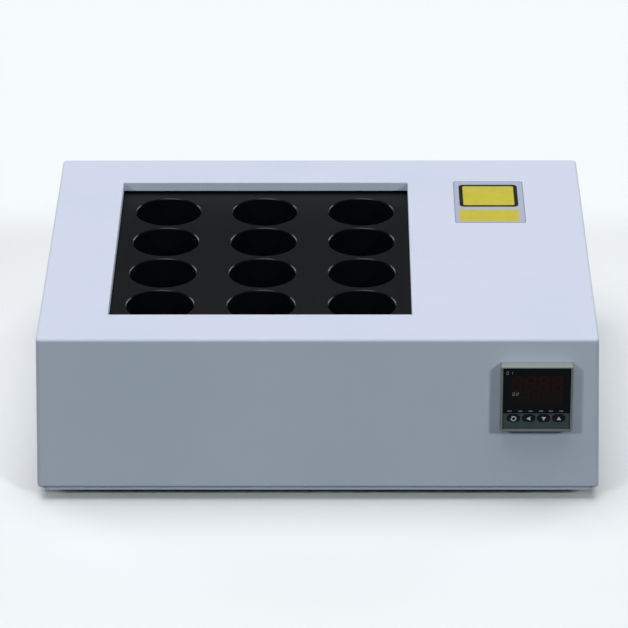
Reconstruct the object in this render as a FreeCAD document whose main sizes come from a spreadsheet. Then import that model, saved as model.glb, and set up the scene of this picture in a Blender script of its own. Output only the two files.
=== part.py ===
"""Dry heating block: twelve wells in a black aluminium block, in a folded sheet housing.

The origin is on the ground under the middle of the whole instrument. X points to the right,
Y to the back, Z up, and all sizes are millimetres. Every size stands once in the sheet Sizes,
and what follows from those sizes has its name and formula in FROM_SIZES.
"""
import FreeCAD, Part
import math
import os
import re

import Sketcher
from FreeCAD import Vector

SIZES = {
    # Folded cover
    "cover_height": 111.8,
    "cover_splay": 2.7,
    "cover_sheet": 1.2,
    "cover_flange": 14.0,
    "top_bend": 2.3,
    "corner_bend": 3.2,
    "bottom_bend": 2.3,
    # Opening over the block, with its turned-down rim
    "opening_left_margin": 45.85,
    "opening_right_margin": 122.65,
    "opening_front_margin": 37.2,
    "opening_back_margin": 40.2,
    "opening_rim": 6.6,
    "opening_bend": 0.8,
    # Vent slots in the right side and in the base
    "vent_count": 11,
    "vent_pitch": 9.0,
    "vent_width": 3.0,
    "vent_length": 34.0,
    "vent_height": 58.0,
    "base_vent_count": 3,
    "base_vent_pitch": 12.0,
    # Base plate and feet
    "plate_sheet": 1.5,
    "plate_side_inset": 3.8,
    "plate_end_inset": 0.8,
    "plate_corner": 5.0,
    "foot_height": 8.0,
    "foot_diameter": 24.0,
    "foot_taper": 1.6,
    "foot_side_inset": 42.0,
    "foot_end_inset": 40.0,
    "foot_recess_diameter": 11.0,
    "foot_recess_depth": 5.0,
    # Screws and nuts
    "screw_fit": 0.05,
    "screw_crown": 0.7,
    "bolt_crown": 0.9,
    "screw_clearance": 0.25,
    "small_screw_diameter": 3.0,
    "small_head_diameter": 5.6,
    "small_head_height": 1.9,
    "small_screw_reach": 3.0,
    "medium_screw_diameter": 4.0,
    "medium_head_diameter": 7.6,
    "medium_head_height": 2.4,
    "medium_nut_width": 7.0,
    "medium_nut_height": 3.2,
    "medium_screw_reach": 1.0,
    "cover_screw_pitch": 150.0,
    # Heating block
    "block_recess": 8.6,
    "block_overlap": 4.0,
    "block_corner": 3.0,
    "block_edge": 0.6,
    "well_diameter": 45.5,
    "well_edge": 0.6,
    "well_columns": 3,
    "well_rows": 4,
    "well_pitch_x": 68.2,
    "well_pitch_y": 50.0,
    "well_side_margin": 10.45,
    "well_end_margin": 9.0,
    # Heater plate under the block, with its heaters, sensor and cut-out
    "heater_plate_height": 19.0,
    "heater_diameter": 9.5,
    "heater_far_wall": 21.5,
    "heater_count": 4,
    "heater_side_margin": 22.9,
    "heater_height": 9.5,
    "heater_head_diameter": 8.0,
    "heater_head_length": 9.0,
    "bore_fit": 0.05,
    "sensor_diameter": 4.0,
    "sensor_length": 100.0,
    "sensor_head_diameter": 6.0,
    "sensor_head_length": 10.0,
    "cutout_flange_diameter": 24.0,
    "cutout_flange_height": 1.2,
    "cutout_can_diameter": 16.0,
    "cutout_can_height": 8.0,
    "cutout_tab_width": 6.3,
    "cutout_tab_sheet": 0.8,
    "cutout_tab_length": 7.0,
    "cutout_tab_pitch": 8.0,
    # Bolts and spacers that carry the block
    "bolt_diameter": 6.0,
    "bolt_head_width": 10.0,
    "bolt_head_height": 4.0,
    "bolt_grip": 12.0,
    "bolt_inset": 12.0,
    "spacer_diameter": 14.0,
    # Insulation and inner case
    "wrap_thickness": 19.0,
    "wrap_gap": 0.3,
    "wrap_drop": 4.0,
    "board_thickness": 18.0,
    "board_hole_gap": 3.0,
    "case_sheet": 1.0,
    "case_gap": 0.3,
    "case_bend": 2.0,
    "case_top_gap": 8.0,
    "lead_window_height": 24.0,
    "lead_window_margin": 14.0,
    "pillar_width": 8.0,
    "pillar_height": 9.2,
    "pillar_inset": 30.0,
    # Shield of the electrical bay
    "shield_gap": 5.0,
    "shield_sheet": 1.0,
    "shield_foot": 12.0,
    "shield_height": 90.0,
    "shield_end_gap": 25.45,
    # Temperature controller
    "controller_side_margin": 40.75,
    "controller_drop": 40.8,
    "bezel_width": 48.0,
    "bezel_proud": 8.1,
    "bezel_border": 1.5,
    "bezel_top_border": 0.7,
    "bezel_recess": 1.8,
    "bezel_web": 1.6,
    "bezel_corner": 1.2,
    "bezel_edge": 0.5,
    "panel_gap": 0.3,
    "window_height": 34.0,
    "window_sheet": 0.6,
    "fascia_sheet": 0.5,
    "display_width": 38.0,
    "display_height": 24.0,
    "display_rise": 7.0,
    "key_count": 4,
    "key_pitch": 10.0,
    "key_length": 8.2,
    "key_width": 5.1,
    "key_drop": 14.3,
    "key_proud": 0.7,
    "key_round": 0.4,
    "key_gap": 0.3,
    "key_flange": 0.8,
    "key_end_rim": 0.3,
    "key_side_rim": 0.8,
    "key_seat_gap": 0.15,
    "key_travel": 0.6,
    "key_stop_gap": 0.3,
    "circuit_sheet": 1.6,
    "housing_gap": 0.2,
    "housing_wall": 1.4,
    "housing_length": 72.0,
    "clamp_wall": 4.0,
    "clamp_length": 8.0,
    "lug_block_length": 9.0,
    "lug_block_margin": 2.0,
    "lug_count": 6,
    "lug_pitch": 6.5,
    "lug_row_pitch": 24.0,
    "lug_diameter": 4.5,
    "lug_depth": 2.0,
    # Parts in the electrical bay
    "sink_back_margin": 88.3,
    "sink_side_gap": 3.875,
    "sink_length": 80.0,
    "sink_height": 26.0,
    "sink_base": 5.0,
    "sink_fins": 8,
    "sink_fin": 2.0,
    "relay_width": 45.0,
    "relay_length": 58.0,
    "relay_height": 25.0,
    "relay_step_height": 17.0,
    "relay_step_length": 13.0,
    "relay_screw_diameter": 8.0,
    "relay_screw_height": 1.5,
    "relay_screw_inset": 10.0,
    "strip_front_margin": 116.6,
    "strip_side_gap": 4.875,
    "strip_width": 20.0,
    "strip_height": 8.0,
    "strip_ways": 6,
    "strip_end": 1.05,
    "strip_rib": 1.5,
    "strip_rib_height": 14.0,
    "strip_screw_diameter": 5.6,
    "strip_screw_height": 2.0,
    "stud_end_inset": 28.0,
    "stud_gap": 3.0,
    "stud_length": 16.0,
    "stud_flange_diameter": 10.0,
    "stud_flange_height": 1.6,
    # Mains inlet with rocker switch and fuse drawer
    "inlet_height": 58.0,
    "inlet_body_width": 27.0,
    "inlet_body_height": 47.0,
    "inlet_body_depth": 28.0,
    "inlet_flange": 3.0,
    "inlet_flange_rim": 2.0,
    "inlet_flange_corner": 2.5,
    "inlet_ear_span": 50.0,
    "inlet_ear_width": 14.0,
    "inlet_screw_pitch": 40.0,
    "socket_width": 24.4,
    "socket_height": 16.4,
    "socket_cut": 4.5,
    "socket_drop": 2.4,
    "socket_depth": 17.0,
    "blade_width": 2.0,
    "blade_height": 4.0,
    "blade_length": 15.5,
    "blade_pitch": 14.0,
    "blade_rise": 2.0,
    "blade_fit": 0.05,
    "tab_length": 9.0,
    "rocker_rise": 15.1,
    "rocker_width": 12.4,
    "rocker_gap": 0.3,
    "rocker_radius": 10.0,
    "rocker_corner_angle": 22.0,
    "rocker_skirt_angle": 20.0,
    "rocker_dip": 2.2,
    "rocker_tilt": 10.0,
    "rocker_pivot_depth": 1.9,
    "rocker_well_depth": 8.5,
    "rocker_pin_diameter": 3.0,
    "rocker_pin_length": 1.5,
    "rocker_pin_fit": 0.05,
    "drawer_drop": 17.4,
    "drawer_width": 22.0,
    "drawer_height": 8.2,
    "drawer_length": 24.0,
    "drawer_gap": 0.3,
    "drawer_wall": 1.2,
    "drawer_lip": 0.8,
    "drawer_lip_height": 2.0,
    "fuse_diameter": 5.0,
    "fuse_length": 20.0,
    "fuse_cap_length": 5.5,
    "fuse_glass_diameter": 4.6,
    "fuse_gap": 0.2,
    "fuse_setback": 4.0,
    # Film label on the top
    "label_width": 49.5,
    "label_depth": 70.0,
    "label_film": 0.2,
    "label_corner": 1.5,
    "label_side_margin": 65.35,
    "label_back_margin": 74.25,
}

FROM_SIZES = {
    "opening_width": "(well_columns - 1) * well_pitch_x + well_diameter + 2 * well_side_margin",
    "opening_depth": "(well_rows - 1) * well_pitch_y + well_diameter + 2 * well_end_margin",
    "cover_top_width": "opening_left_margin + opening_width + opening_right_margin",
    "cover_depth": "opening_front_margin + opening_depth + opening_back_margin",
    "rocker_proud": "rocker_radius * sin(rocker_corner_angle + rocker_tilt) - rocker_pivot_depth",
    "housing_y": "(bezel_proud - inlet_flange - rocker_proud) / 2",
    "front_y": "housing_y - cover_depth / 2",
    "back_y": "housing_y + cover_depth / 2",
    "plate_top": "foot_height + plate_sheet",
    "cover_top": "plate_top + cover_height",
    "cover_bottom_width": "cover_top_width + 2 * cover_splay",
    "side_sheet": "cover_sheet * sqrt(1 + (cover_splay / cover_height) ^ 2)",
    "sheet_lean": "cover_splay * cover_sheet / cover_height",
    "cover_screw_y": "cover_depth / 2 - cover_sheet - cover_flange / 2",
    "foot_x": "cover_top_width / 2 + cover_splay - foot_side_inset",
    "foot_y": "cover_depth / 2 - foot_end_inset",
    "opening_x": "(opening_left_margin - opening_right_margin) / 2",
    "opening_y": "(opening_front_margin - opening_back_margin) / 2",
    "opening_centre_y": "housing_y + opening_y",
    "block_top": "cover_top - block_recess",
    "case_bottom": "plate_top + pillar_height",
    "case_floor": "case_bottom + case_sheet",
    "heater_plate_bottom": "case_floor + board_thickness",
    "block_height": "block_top - heater_plate_bottom - heater_plate_height",
    "block_width": "opening_width + 2 * block_overlap",
    "block_depth": "opening_depth + 2 * block_overlap",
    "heater_length": "block_depth - heater_far_wall",
    "heater_pitch": "(block_width - 2 * heater_side_margin) / (heater_count - 1)",
    "bolt_x": "block_width / 2 - bolt_inset",
    "bolt_y": "block_depth / 2 - bolt_inset",
    "wrap_width": "block_width + 2 * wrap_gap + 2 * wrap_thickness",
    "wrap_depth": "block_depth + 2 * wrap_gap + 2 * wrap_thickness",
    "case_width": "wrap_width + 2 * case_gap + 2 * case_sheet",
    "case_depth": "wrap_depth + 2 * case_gap + 2 * case_sheet",
    "case_height": "cover_top - case_top_gap - case_bottom",
    "pillar_x": "block_width / 2 - pillar_inset",
    "pillar_y": "block_depth / 2 - pillar_inset",
    "lead_window_width": "(heater_count - 1) * heater_pitch + heater_diameter + 2 * lead_window_margin",
    "shield_x": "opening_x + case_width / 2 + shield_gap",
    "shield_length": "cover_depth - 2 * shield_end_gap",
    "bay_left": "shield_x + shield_foot",
    "bay_right": "cover_bottom_width / 2 - cover_flange",
    "bay_x": "(bay_left + bay_right) / 2",
    "sink_y": "back_y - sink_back_margin",
    "sink_width": "bay_right - bay_left - 2 * sink_side_gap",
    "strip_y": "front_y + strip_front_margin",
    "strip_length": "bay_right - bay_left - 2 * strip_side_gap",
    "strip_pitch": "(strip_length - strip_rib - 2 * strip_end) / strip_ways",
    "stud_x": "bay_left + stud_gap + stud_flange_diameter / 2",
    "stud_y": "back_y - stud_end_inset",
    "controller_x": "cover_top_width / 2 - controller_side_margin",
    "controller_z": "cover_top - controller_drop",
    "web_front": "bezel_proud - bezel_recess",
    "web_back": "web_front - bezel_web",
    "inlet_flange_width": "inlet_body_width + 2 * inlet_flange_rim",
    "inlet_flange_height": "inlet_body_height + 2 * inlet_flange_rim",
    "window_opening": "bezel_width - 2 * bezel_border",
    "recess_height": "bezel_width - bezel_border - bezel_top_border",
    "recess_rise": "(bezel_border - bezel_top_border) / 2",
    "band_height": "recess_height - window_height",
    "circuit_front": "web_back - key_seat_gap - key_flange - key_travel - key_stop_gap",
    "housing_width": "window_opening - 2 * housing_gap",
}

# Two lengths in mm that differ by less than this are taken as the same when edges are chosen
CLOSE = 0.01
HALF_TURN = 180.0

doc = FreeCAD.newDocument("heating_block")
sheet = doc.addObject("Spreadsheet::Sheet", "Sizes")
pieces = []


def fill_sheet():
    """Write every size into the sheet, each under its own name."""
    for row, (name, value) in enumerate(SIZES.items(), start=1):
        sheet.set(f"A{row}", name)
        sheet.set(f"B{row}", str(value))
        sheet.setAlias(f"B{row}", name)
    doc.recompute()


def formula(text):
    """Turn names of sizes into references to the sheet."""
    def refer(match):
        name = match.group()
        if name in SIZES:
            return "Sizes." + name
        if name in FROM_SIZES:
            return "(" + formula(FROM_SIZES[name]) + ")"
        return name
    return re.sub(r"[a-z_]+", refer, text)


def size(text):
    """Work out a formula of sizes as a number."""
    return float(sheet.evalExpression(formula(text)))


def bind(thing, **values):
    """Tie properties of a thing to formulas of sizes."""
    for name, text in values.items():
        thing.setExpression(name, formula(text))


def start_piece(name, x="0", y="0", z="0"):
    """Start a piece whose own origin lies at x, y, z."""
    piece = doc.addObject("PartDesign::Body", name)
    piece.Label = name
    for axis, text in zip("xyz", (x, y, z)):
        piece.setExpression(f"Placement.Base.{axis}", formula(text))
    pieces.append(piece)
    return piece


def origin_part(piece, role):
    """Find a plane or an axis of the piece's own origin."""
    return next(item for item in piece.Origin.OriginFeatures if item.Role == role)


def start_sketch(piece, plane, level="0"):
    """Start a sketch on a plane of the piece, level away from it along the plane's normal.

    The normal of XY points up, that of XZ to the front and that of YZ to the right.
    """
    sketch = piece.newObject("Sketcher::SketchObject", f"{piece.Name}_sketch")
    sketch.AttachmentSupport = (origin_part(piece, plane), [""])
    sketch.MapMode = "FlatFace"
    sketch.setExpression("AttachmentOffset.Base.z", formula(level))
    return sketch


def fix_point(sketch, geometry, point, x, y):
    """Hold a point of the sketch at x, y."""
    for kind, text in (("DistanceX", x), ("DistanceY", y)):
        number = sketch.addConstraint(Sketcher.Constraint(kind, geometry, point, size(text)))
        sketch.setExpression(f"Constraints[{number}]", formula(text))


def draw_outline(sketch, corners):
    """Draw a closed outline with straight sides through corners."""
    points = [Vector(size(x), size(y), 0) for x, y in corners]
    sides = []
    for number, point in enumerate(points):
        following = points[(number + 1) % len(points)]
        sides.append(sketch.addGeometry(Part.LineSegment(point, following), False))
    for number, side in enumerate(sides):
        following = sides[(number + 1) % len(sides)]
        sketch.addConstraint(Sketcher.Constraint("Coincident", side, 2, following, 1))
        fix_point(sketch, side, 1, *corners[number])


def draw_rectangle(sketch, width, height, x="0", y="0"):
    """Draw a rectangle round the centre x, y."""
    left, right = f"({x}) - ({width}) / 2", f"({x}) + ({width}) / 2"
    low, high = f"({y}) - ({height}) / 2", f"({y}) + ({height}) / 2"
    draw_outline(sketch, [(left, low), (right, low), (right, high), (left, high)])


def draw_circle(sketch, diameter, x="0", y="0"):
    """Draw a circle round the centre x, y."""
    centre = Vector(size(x), size(y), 0)
    radius = size(diameter) / 2
    circle = sketch.addGeometry(Part.Circle(centre, Vector(0, 0, 1), radius), False)
    fix_point(sketch, circle, 3, x, y)
    number = sketch.addConstraint(Sketcher.Constraint("Diameter", circle, 2 * radius))
    sketch.setExpression(f"Constraints[{number}]", formula(diameter))


def draw_slot(sketch, length, width, x="0", y="0", upright=False):
    """Draw a slot with round ends round the centre x, y."""
    reach = f"(({length}) - ({width})) / 2"
    if upright:
        ends = [(x, f"({y}) + {reach}"), (x, f"({y}) - {reach}")]
        first_angle = 0.0
    else:
        ends = [(f"({x}) - {reach}", y), (f"({x}) + {reach}", y)]
        first_angle = HALF_TURN / 2
    radius = size(width) / 2
    arcs = []
    for number, (end_x, end_y) in enumerate(ends):
        centre = Vector(size(end_x), size(end_y), 0)
        circle = Part.Circle(centre, Vector(0, 0, 1), radius)
        start = (first_angle + HALF_TURN * number) % (2 * HALF_TURN)
        arc = Part.ArcOfCircle(circle, math.radians(start), math.radians(start + HALF_TURN))
        arcs.append(sketch.addGeometry(arc, False))
    first, second = (sketch.Geometry[arc] for arc in arcs)
    sides = [
        sketch.addGeometry(Part.LineSegment(first.EndPoint, second.StartPoint), False),
        sketch.addGeometry(Part.LineSegment(second.EndPoint, first.StartPoint), False),
    ]
    for side, before, after in ((sides[0], arcs[0], arcs[1]), (sides[1], arcs[1], arcs[0])):
        sketch.addConstraint(Sketcher.Constraint("Tangent", side, 1, before, 2))
        sketch.addConstraint(Sketcher.Constraint("Tangent", side, 2, after, 1))
    sketch.addConstraint(Sketcher.Constraint("Equal", arcs[0], arcs[1]))
    for arc, (end_x, end_y) in zip(arcs, ends):
        fix_point(sketch, arc, 3, end_x, end_y)
    number = sketch.addConstraint(Sketcher.Constraint("Diameter", arcs[0], 2 * radius))
    sketch.setExpression(f"Constraints[{number}]", formula(width))


def add_pad(piece, sketch, length, both_ways=False, backwards=False):
    """Raise a sketch by length along its normal, or the other way, or half each way."""
    feature = piece.newObject("PartDesign::Pad", f"{piece.Name}_pad")
    feature.Profile = sketch
    feature.SideType = "Symmetric" if both_ways else "One side"
    feature.Reversed = backwards
    bind(feature, Length=length)
    doc.recompute()
    return feature


def add_pocket(piece, sketch, length, both_ways=False, backwards=False):
    """Cut a sketch by length against its normal, or the other way, or half each way."""
    before = piece.Shape.Volume
    feature = piece.newObject("PartDesign::Pocket", f"{piece.Name}_pocket")
    feature.Profile = sketch
    feature.SideType = "Symmetric" if both_ways else "One side"
    feature.Reversed = backwards
    bind(feature, Length=length)
    doc.recompute()
    if feature.Shape.Volume >= before:
        raise RuntimeError(f"{feature.Name} cuts nothing")
    return feature


def add_turning(piece, profile):
    """Turn an outline of (radius, height) corners about the piece's upright axis."""
    sketch = start_sketch(piece, "XZ_Plane")
    draw_outline(sketch, profile)
    feature = piece.newObject("PartDesign::Revolution", f"{piece.Name}_turning")
    feature.Profile = sketch
    feature.ReferenceAxis = (sketch, ["V_Axis"])
    feature.Angle = 2 * HALF_TURN
    doc.recompute()
    return feature


def chosen_edges(shape, wanted):
    """Name the edges whose middle and direction are wanted."""
    names = []
    for number, edge in enumerate(shape.Edges, start=1):
        start, end = edge.firstVertex().Point, edge.lastVertex().Point
        if wanted(edge.CenterOfMass, end - start):
            names.append(f"Edge{number}")
    return names


def soften(piece, kind, amount, wanted):
    """Fillet or chamfer the wanted edges of the piece by amount."""
    base = piece.Tip
    feature = piece.newObject(f"PartDesign::{kind}", f"{piece.Name}_{kind.lower()}")
    feature.Base = (base, chosen_edges(base.Shape, wanted))
    feature.setExpression("Radius" if kind == "Fillet" else "Size", formula(amount))
    doc.recompute()
    return feature


def is_upright(direction):
    """Say whether an edge runs along Z."""
    return abs(direction.z) > 0 and abs(direction.x) + abs(direction.y) < abs(direction.z) / 10


def repeat(piece, feature, *rows):
    """Repeat a feature in rows, each an axis with the pitch and the count."""
    grid = piece.newObject("PartDesign::MultiTransform", f"{piece.Name}_grid")
    grid.Originals = [feature]
    steps = []
    for axis, pitch, count in rows:
        step = piece.newObject("PartDesign::LinearPattern", f"{piece.Name}_row")
        step.Direction = (origin_part(piece, axis), [""])
        step.Mode = "Spacing"
        bind(step, Offset=pitch, Occurrences=count)
        steps.append(step)
    grid.Transformations = steps
    piece.Tip = grid
    doc.recompute()
    return grid


def make_top_cover():
    """Folded and welded cover: leaning sides, turned-down rim, in-turned bottom flange."""
    piece = start_piece("top_cover", y="housing_y", z="plate_top")
    front_view = start_sketch(piece, "XZ_Plane")
    draw_outline(front_view, [
        ("-cover_bottom_width / 2", "0"),
        ("cover_bottom_width / 2", "0"),
        ("cover_top_width / 2", "cover_height"),
        ("-cover_top_width / 2", "cover_height"),
    ])
    add_pad(piece, front_view, "cover_depth", both_ways=True)
    top = size("cover_height")
    half_width, half_depth = size("cover_bottom_width / 2"), size("cover_depth / 2")
    half_flange = size("cover_flange / 2")
    inner_y = size("cover_depth / 2 - cover_sheet")
    soften(piece, "Fillet", "corner_bend", lambda middle, way: is_upright(way))
    flange_opening = start_sketch(piece, "XY_Plane")
    draw_rectangle(flange_opening, "cover_bottom_width - 2 * cover_flange",
                   "cover_depth - 2 * cover_flange")
    add_pocket(piece, flange_opening, "cover_height / 2", backwards=True)
    inside = start_sketch(piece, "XZ_Plane")
    draw_outline(inside, [
        ("-cover_bottom_width / 2 + side_sheet + sheet_lean", "cover_sheet"),
        ("cover_bottom_width / 2 - side_sheet - sheet_lean", "cover_sheet"),
        ("cover_top_width / 2 - side_sheet + sheet_lean", "cover_height - cover_sheet"),
        ("side_sheet - cover_top_width / 2 - sheet_lean", "cover_height - cover_sheet"),
    ])
    add_pocket(piece, inside, "cover_depth - 2 * cover_sheet", both_ways=True)
    soften(piece, "Fillet", "corner_bend - cover_sheet",
           lambda middle, way: is_upright(way) and abs(abs(middle.y) - inner_y) < CLOSE)
    for bend, level in (("top_bend - cover_sheet", "cover_height - cover_sheet"),
                        ("bottom_bend - cover_sheet", "cover_sheet"),
                        ("top_bend", "cover_height"), ("bottom_bend", "0")):
        soften(piece, "Fillet", bend, lambda middle, way: abs(middle.z - size(level)) < CLOSE and (
            abs(middle.x) > half_width - half_flange or abs(middle.y) > half_depth - half_flange))

    rim = start_sketch(piece, "XY_Plane", "cover_height - opening_rim")
    draw_rectangle(rim, "opening_width + 2 * cover_sheet", "opening_depth + 2 * cover_sheet",
                   "opening_x", "opening_y")
    add_pad(piece, rim, "opening_rim - cover_sheet / 2")
    opening = start_sketch(piece, "XY_Plane", "cover_height")
    draw_rectangle(opening, "opening_width", "opening_depth", "opening_x", "opening_y")
    add_pocket(piece, opening, "opening_rim + cover_sheet")
    reach_x, reach_y = size("opening_width / 2 + cover_sheet"), size("opening_depth / 2 + cover_sheet")
    centre_x, centre_y = size("opening_x"), size("opening_y")
    soften(piece, "Fillet", "opening_bend", lambda middle, way: middle.z > top - CLOSE and
           abs(middle.x - centre_x) < reach_x and abs(middle.y - centre_y) < reach_y)

    front_holes = start_sketch(piece, "XZ_Plane", "cover_depth / 2")
    draw_rectangle(front_holes, "housing_width + 2 * panel_gap", "housing_width + 2 * panel_gap",
                   "controller_x", "controller_z - plate_top")
    add_pocket(piece, front_holes, "2 * cover_sheet")
    rear_holes = start_sketch(piece, "XZ_Plane", "-cover_depth / 2")
    draw_rectangle(rear_holes, "inlet_body_width + 2 * panel_gap", "inlet_body_height + 2 * panel_gap",
                   "bay_x", "inlet_height - plate_top")
    for side in "-+":
        draw_circle(rear_holes, "small_screw_diameter + 2 * screw_fit",
                    f"bay_x {side} inlet_screw_pitch / 2", "inlet_height - plate_top - socket_drop")
    add_pocket(piece, rear_holes, "2 * cover_sheet", backwards=True)
    vents = start_sketch(piece, "YZ_Plane", "cover_bottom_width / 2")
    for number in range(int(SIZES["vent_count"])):
        draw_slot(vents, "vent_length", "vent_width",
                  f"({number} - (vent_count - 1) / 2) * vent_pitch", "vent_height", upright=True)
    add_pocket(piece, vents, "cover_splay + 3 * cover_sheet")
    flange_holes = start_sketch(piece, "XY_Plane")
    for x, y in cover_screw_places():
        draw_circle(flange_holes, "small_screw_diameter + 2 * screw_fit", x, y)
    add_pocket(piece, flange_holes, "2 * cover_sheet", backwards=True)


def cover_screw_places():
    """Give the places of the screws that hold the cover, from the cover's centre."""
    return [(x, y) for y in ("-cover_screw_y", "cover_screw_y")
            for x in ("-cover_screw_pitch", "0", "cover_screw_pitch")]


def four_places(x, y):
    """Give the four places at plus and minus x and y."""
    return [(f"{side}({x})", f"{end}({y})") for side in "-+" for end in "-+"]


def add_grid(piece, feature, pitch_x, pitch_y, count_x="2", count_y="2"):
    """Repeat a feature over a grid that starts at its lowest x and y."""
    repeat(piece, feature, ("X_Axis", pitch_x, count_x), ("Y_Axis", pitch_y, count_y))


def make_base_plate():
    """Flat plate under the cover: it closes the housing and carries all that is inside."""
    piece = start_piece("base_plate", y="housing_y", z="foot_height")
    plate = start_sketch(piece, "XY_Plane")
    draw_rectangle(plate, "cover_bottom_width - 2 * plate_side_inset",
                   "cover_depth - 2 * plate_end_inset")
    add_pad(piece, plate, "plate_sheet")
    soften(piece, "Fillet", "plate_corner", lambda middle, way: is_upright(way))
    holes = start_sketch(piece, "XY_Plane")
    for x, y in cover_screw_places():
        draw_circle(holes, "small_screw_diameter + 2 * screw_clearance", x, y)
    for x, y in four_places("foot_x", "foot_y"):
        draw_circle(holes, "medium_screw_diameter + 2 * screw_clearance", x, y)
    for x, y in four_places("pillar_x", "pillar_y"):
        draw_circle(holes, "medium_screw_diameter + 2 * screw_clearance",
                    f"{x} + opening_x", f"{y} + opening_y")
    draw_circle(holes, "medium_screw_diameter + 2 * screw_fit", "stud_x", "stud_y - housing_y")
    for number in range(int(SIZES["base_vent_count"])):
        draw_slot(holes, "vent_length", "vent_width", "bay_x",
                  f"strip_y - housing_y - strip_width - {number} * base_vent_pitch")
    add_pocket(piece, holes, "2 * plate_sheet", backwards=True)


def make_feet():
    """Four turned rubber feet, each with a recess for its screw."""
    for end, y in (("front", "housing_y - foot_y"), ("back", "housing_y + foot_y")):
        for side, x in (("left", "-foot_x"), ("right", "foot_x")):
            piece = start_piece(f"foot_{end}_{side}", x, y)
            add_turning(piece, [
                ("foot_recess_diameter / 2", "0"),
                ("foot_diameter / 2 - foot_taper", "0"),
                ("foot_diameter / 2", "foot_height"),
                ("medium_screw_diameter / 2 + screw_clearance", "foot_height"),
                ("medium_screw_diameter / 2 + screw_clearance", "foot_recess_depth"),
                ("foot_recess_diameter / 2", "foot_recess_depth"),
            ])


def turn_screw(piece, diameter, head_diameter, head_height, length, crown="screw_crown"):
    """Turn a screw that points up, with its head's seat at the piece's origin."""
    return add_turning(piece, [
        ("0", f"-{head_height}"),
        (f"{head_diameter} * {crown} / 2", f"-{head_height}"),
        (f"{head_diameter} / 2", f"-{head_height} / 2"),
        (f"{head_diameter} / 2", "0"),
        (f"{diameter} / 2", "0"),
        (f"{diameter} / 2", length),
        ("0", length),
    ])


def add_nut(piece, width, height, bore):
    """Raise a hexagonal nut with a plain bore on the piece's origin."""
    nut = start_sketch(piece, "XY_Plane")
    half = f"{width} / 2"
    short = f"{width} / (2 * sqrt(3))"
    draw_outline(nut, [(f"2 * {short}", "0"), (short, half), (f"-{short}", half),
                       (f"-2 * {short}", "0"), (f"-{short}", f"-{half}"), (short, f"-{half}")])
    draw_circle(nut, bore)
    return add_pad(piece, nut, height)


def make_base_fasteners():
    """Screws and nuts under the housing: for the feet, for the pillars and for the cover."""
    screw = ("medium_screw_diameter", "medium_head_diameter", "medium_head_height")
    nut = ("medium_nut_width", "medium_nut_height", "medium_screw_diameter + 2 * screw_fit")
    reach = " + plate_sheet + medium_nut_height + medium_screw_reach"
    piece = start_piece("foot_screws", "-foot_x", "housing_y - foot_y", "foot_recess_depth")
    turned = turn_screw(piece, *screw, "foot_height - foot_recess_depth" + reach)
    add_grid(piece, turned, "2 * foot_x", "2 * foot_y")
    piece = start_piece("foot_nuts", "-foot_x", "housing_y - foot_y", "plate_top")
    add_grid(piece, add_nut(piece, *nut), "2 * foot_x", "2 * foot_y")
    x, y = "opening_x - pillar_x", "opening_centre_y - pillar_y"
    piece = start_piece("pillar_screws", x, y, "foot_height")
    turned = turn_screw(piece, *screw, "pillar_height + case_sheet" + reach)
    add_grid(piece, turned, "2 * pillar_x", "2 * pillar_y")
    piece = start_piece("pillar_nuts", x, y, "case_floor")
    add_grid(piece, add_nut(piece, *nut), "2 * pillar_x", "2 * pillar_y")
    piece = start_piece("case_pillars", x, y, "plate_top")
    pillar = add_nut(piece, "pillar_width", "pillar_height",
                     "medium_screw_diameter + 2 * screw_clearance")
    add_grid(piece, pillar, "2 * pillar_x", "2 * pillar_y")
    piece = start_piece("cover_screws", "-cover_screw_pitch", "housing_y - cover_screw_y",
                        "foot_height")
    turned = turn_screw(piece, "small_screw_diameter", "small_head_diameter", "small_head_height",
                        "plate_sheet + cover_sheet + small_screw_reach")
    add_grid(piece, turned, "cover_screw_pitch", "2 * cover_screw_y", "3")


def make_heating_block():
    """Aluminium block bored through with the wells, and tapped for its bolts from below."""
    piece = start_piece("heating_block", "opening_x", "opening_centre_y", "block_top")
    plan = start_sketch(piece, "XY_Plane")
    draw_rectangle(plan, "block_width", "block_depth")
    add_pad(piece, plan, "block_height", backwards=True)
    soften(piece, "Fillet", "block_corner", lambda middle, way: is_upright(way))
    soften(piece, "Chamfer", "block_edge", lambda middle, way: abs(middle.z) < CLOSE)
    wells = start_sketch(piece, "XY_Plane")
    for column in range(int(SIZES["well_columns"])):
        for row in range(int(SIZES["well_rows"])):
            draw_circle(wells, "well_diameter", f"({column} - (well_columns - 1) / 2) * well_pitch_x",
                        f"({row} - (well_rows - 1) / 2) * well_pitch_y")
    hole = piece.newObject("PartDesign::Hole", "wells")
    hole.Profile = wells
    hole.Threaded = False
    hole.DepthType = "ThroughAll"
    hole.HoleCutType = "Countersink"
    hole.HoleCutCustomValues = True
    hole.HoleCutCountersinkAngle = HALF_TURN / 2
    bind(hole, Diameter="well_diameter", HoleCutDiameter="well_diameter + 2 * well_edge")
    doc.recompute()
    bolt_holes = start_sketch(piece, "XY_Plane", "-block_height")
    for x, y in four_places("bolt_x", "bolt_y"):
        draw_circle(bolt_holes, "bolt_diameter + 2 * screw_fit", x, y)
    add_pocket(piece, bolt_holes, "bolt_grip + bolt_diameter / 4", backwards=True)


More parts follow.
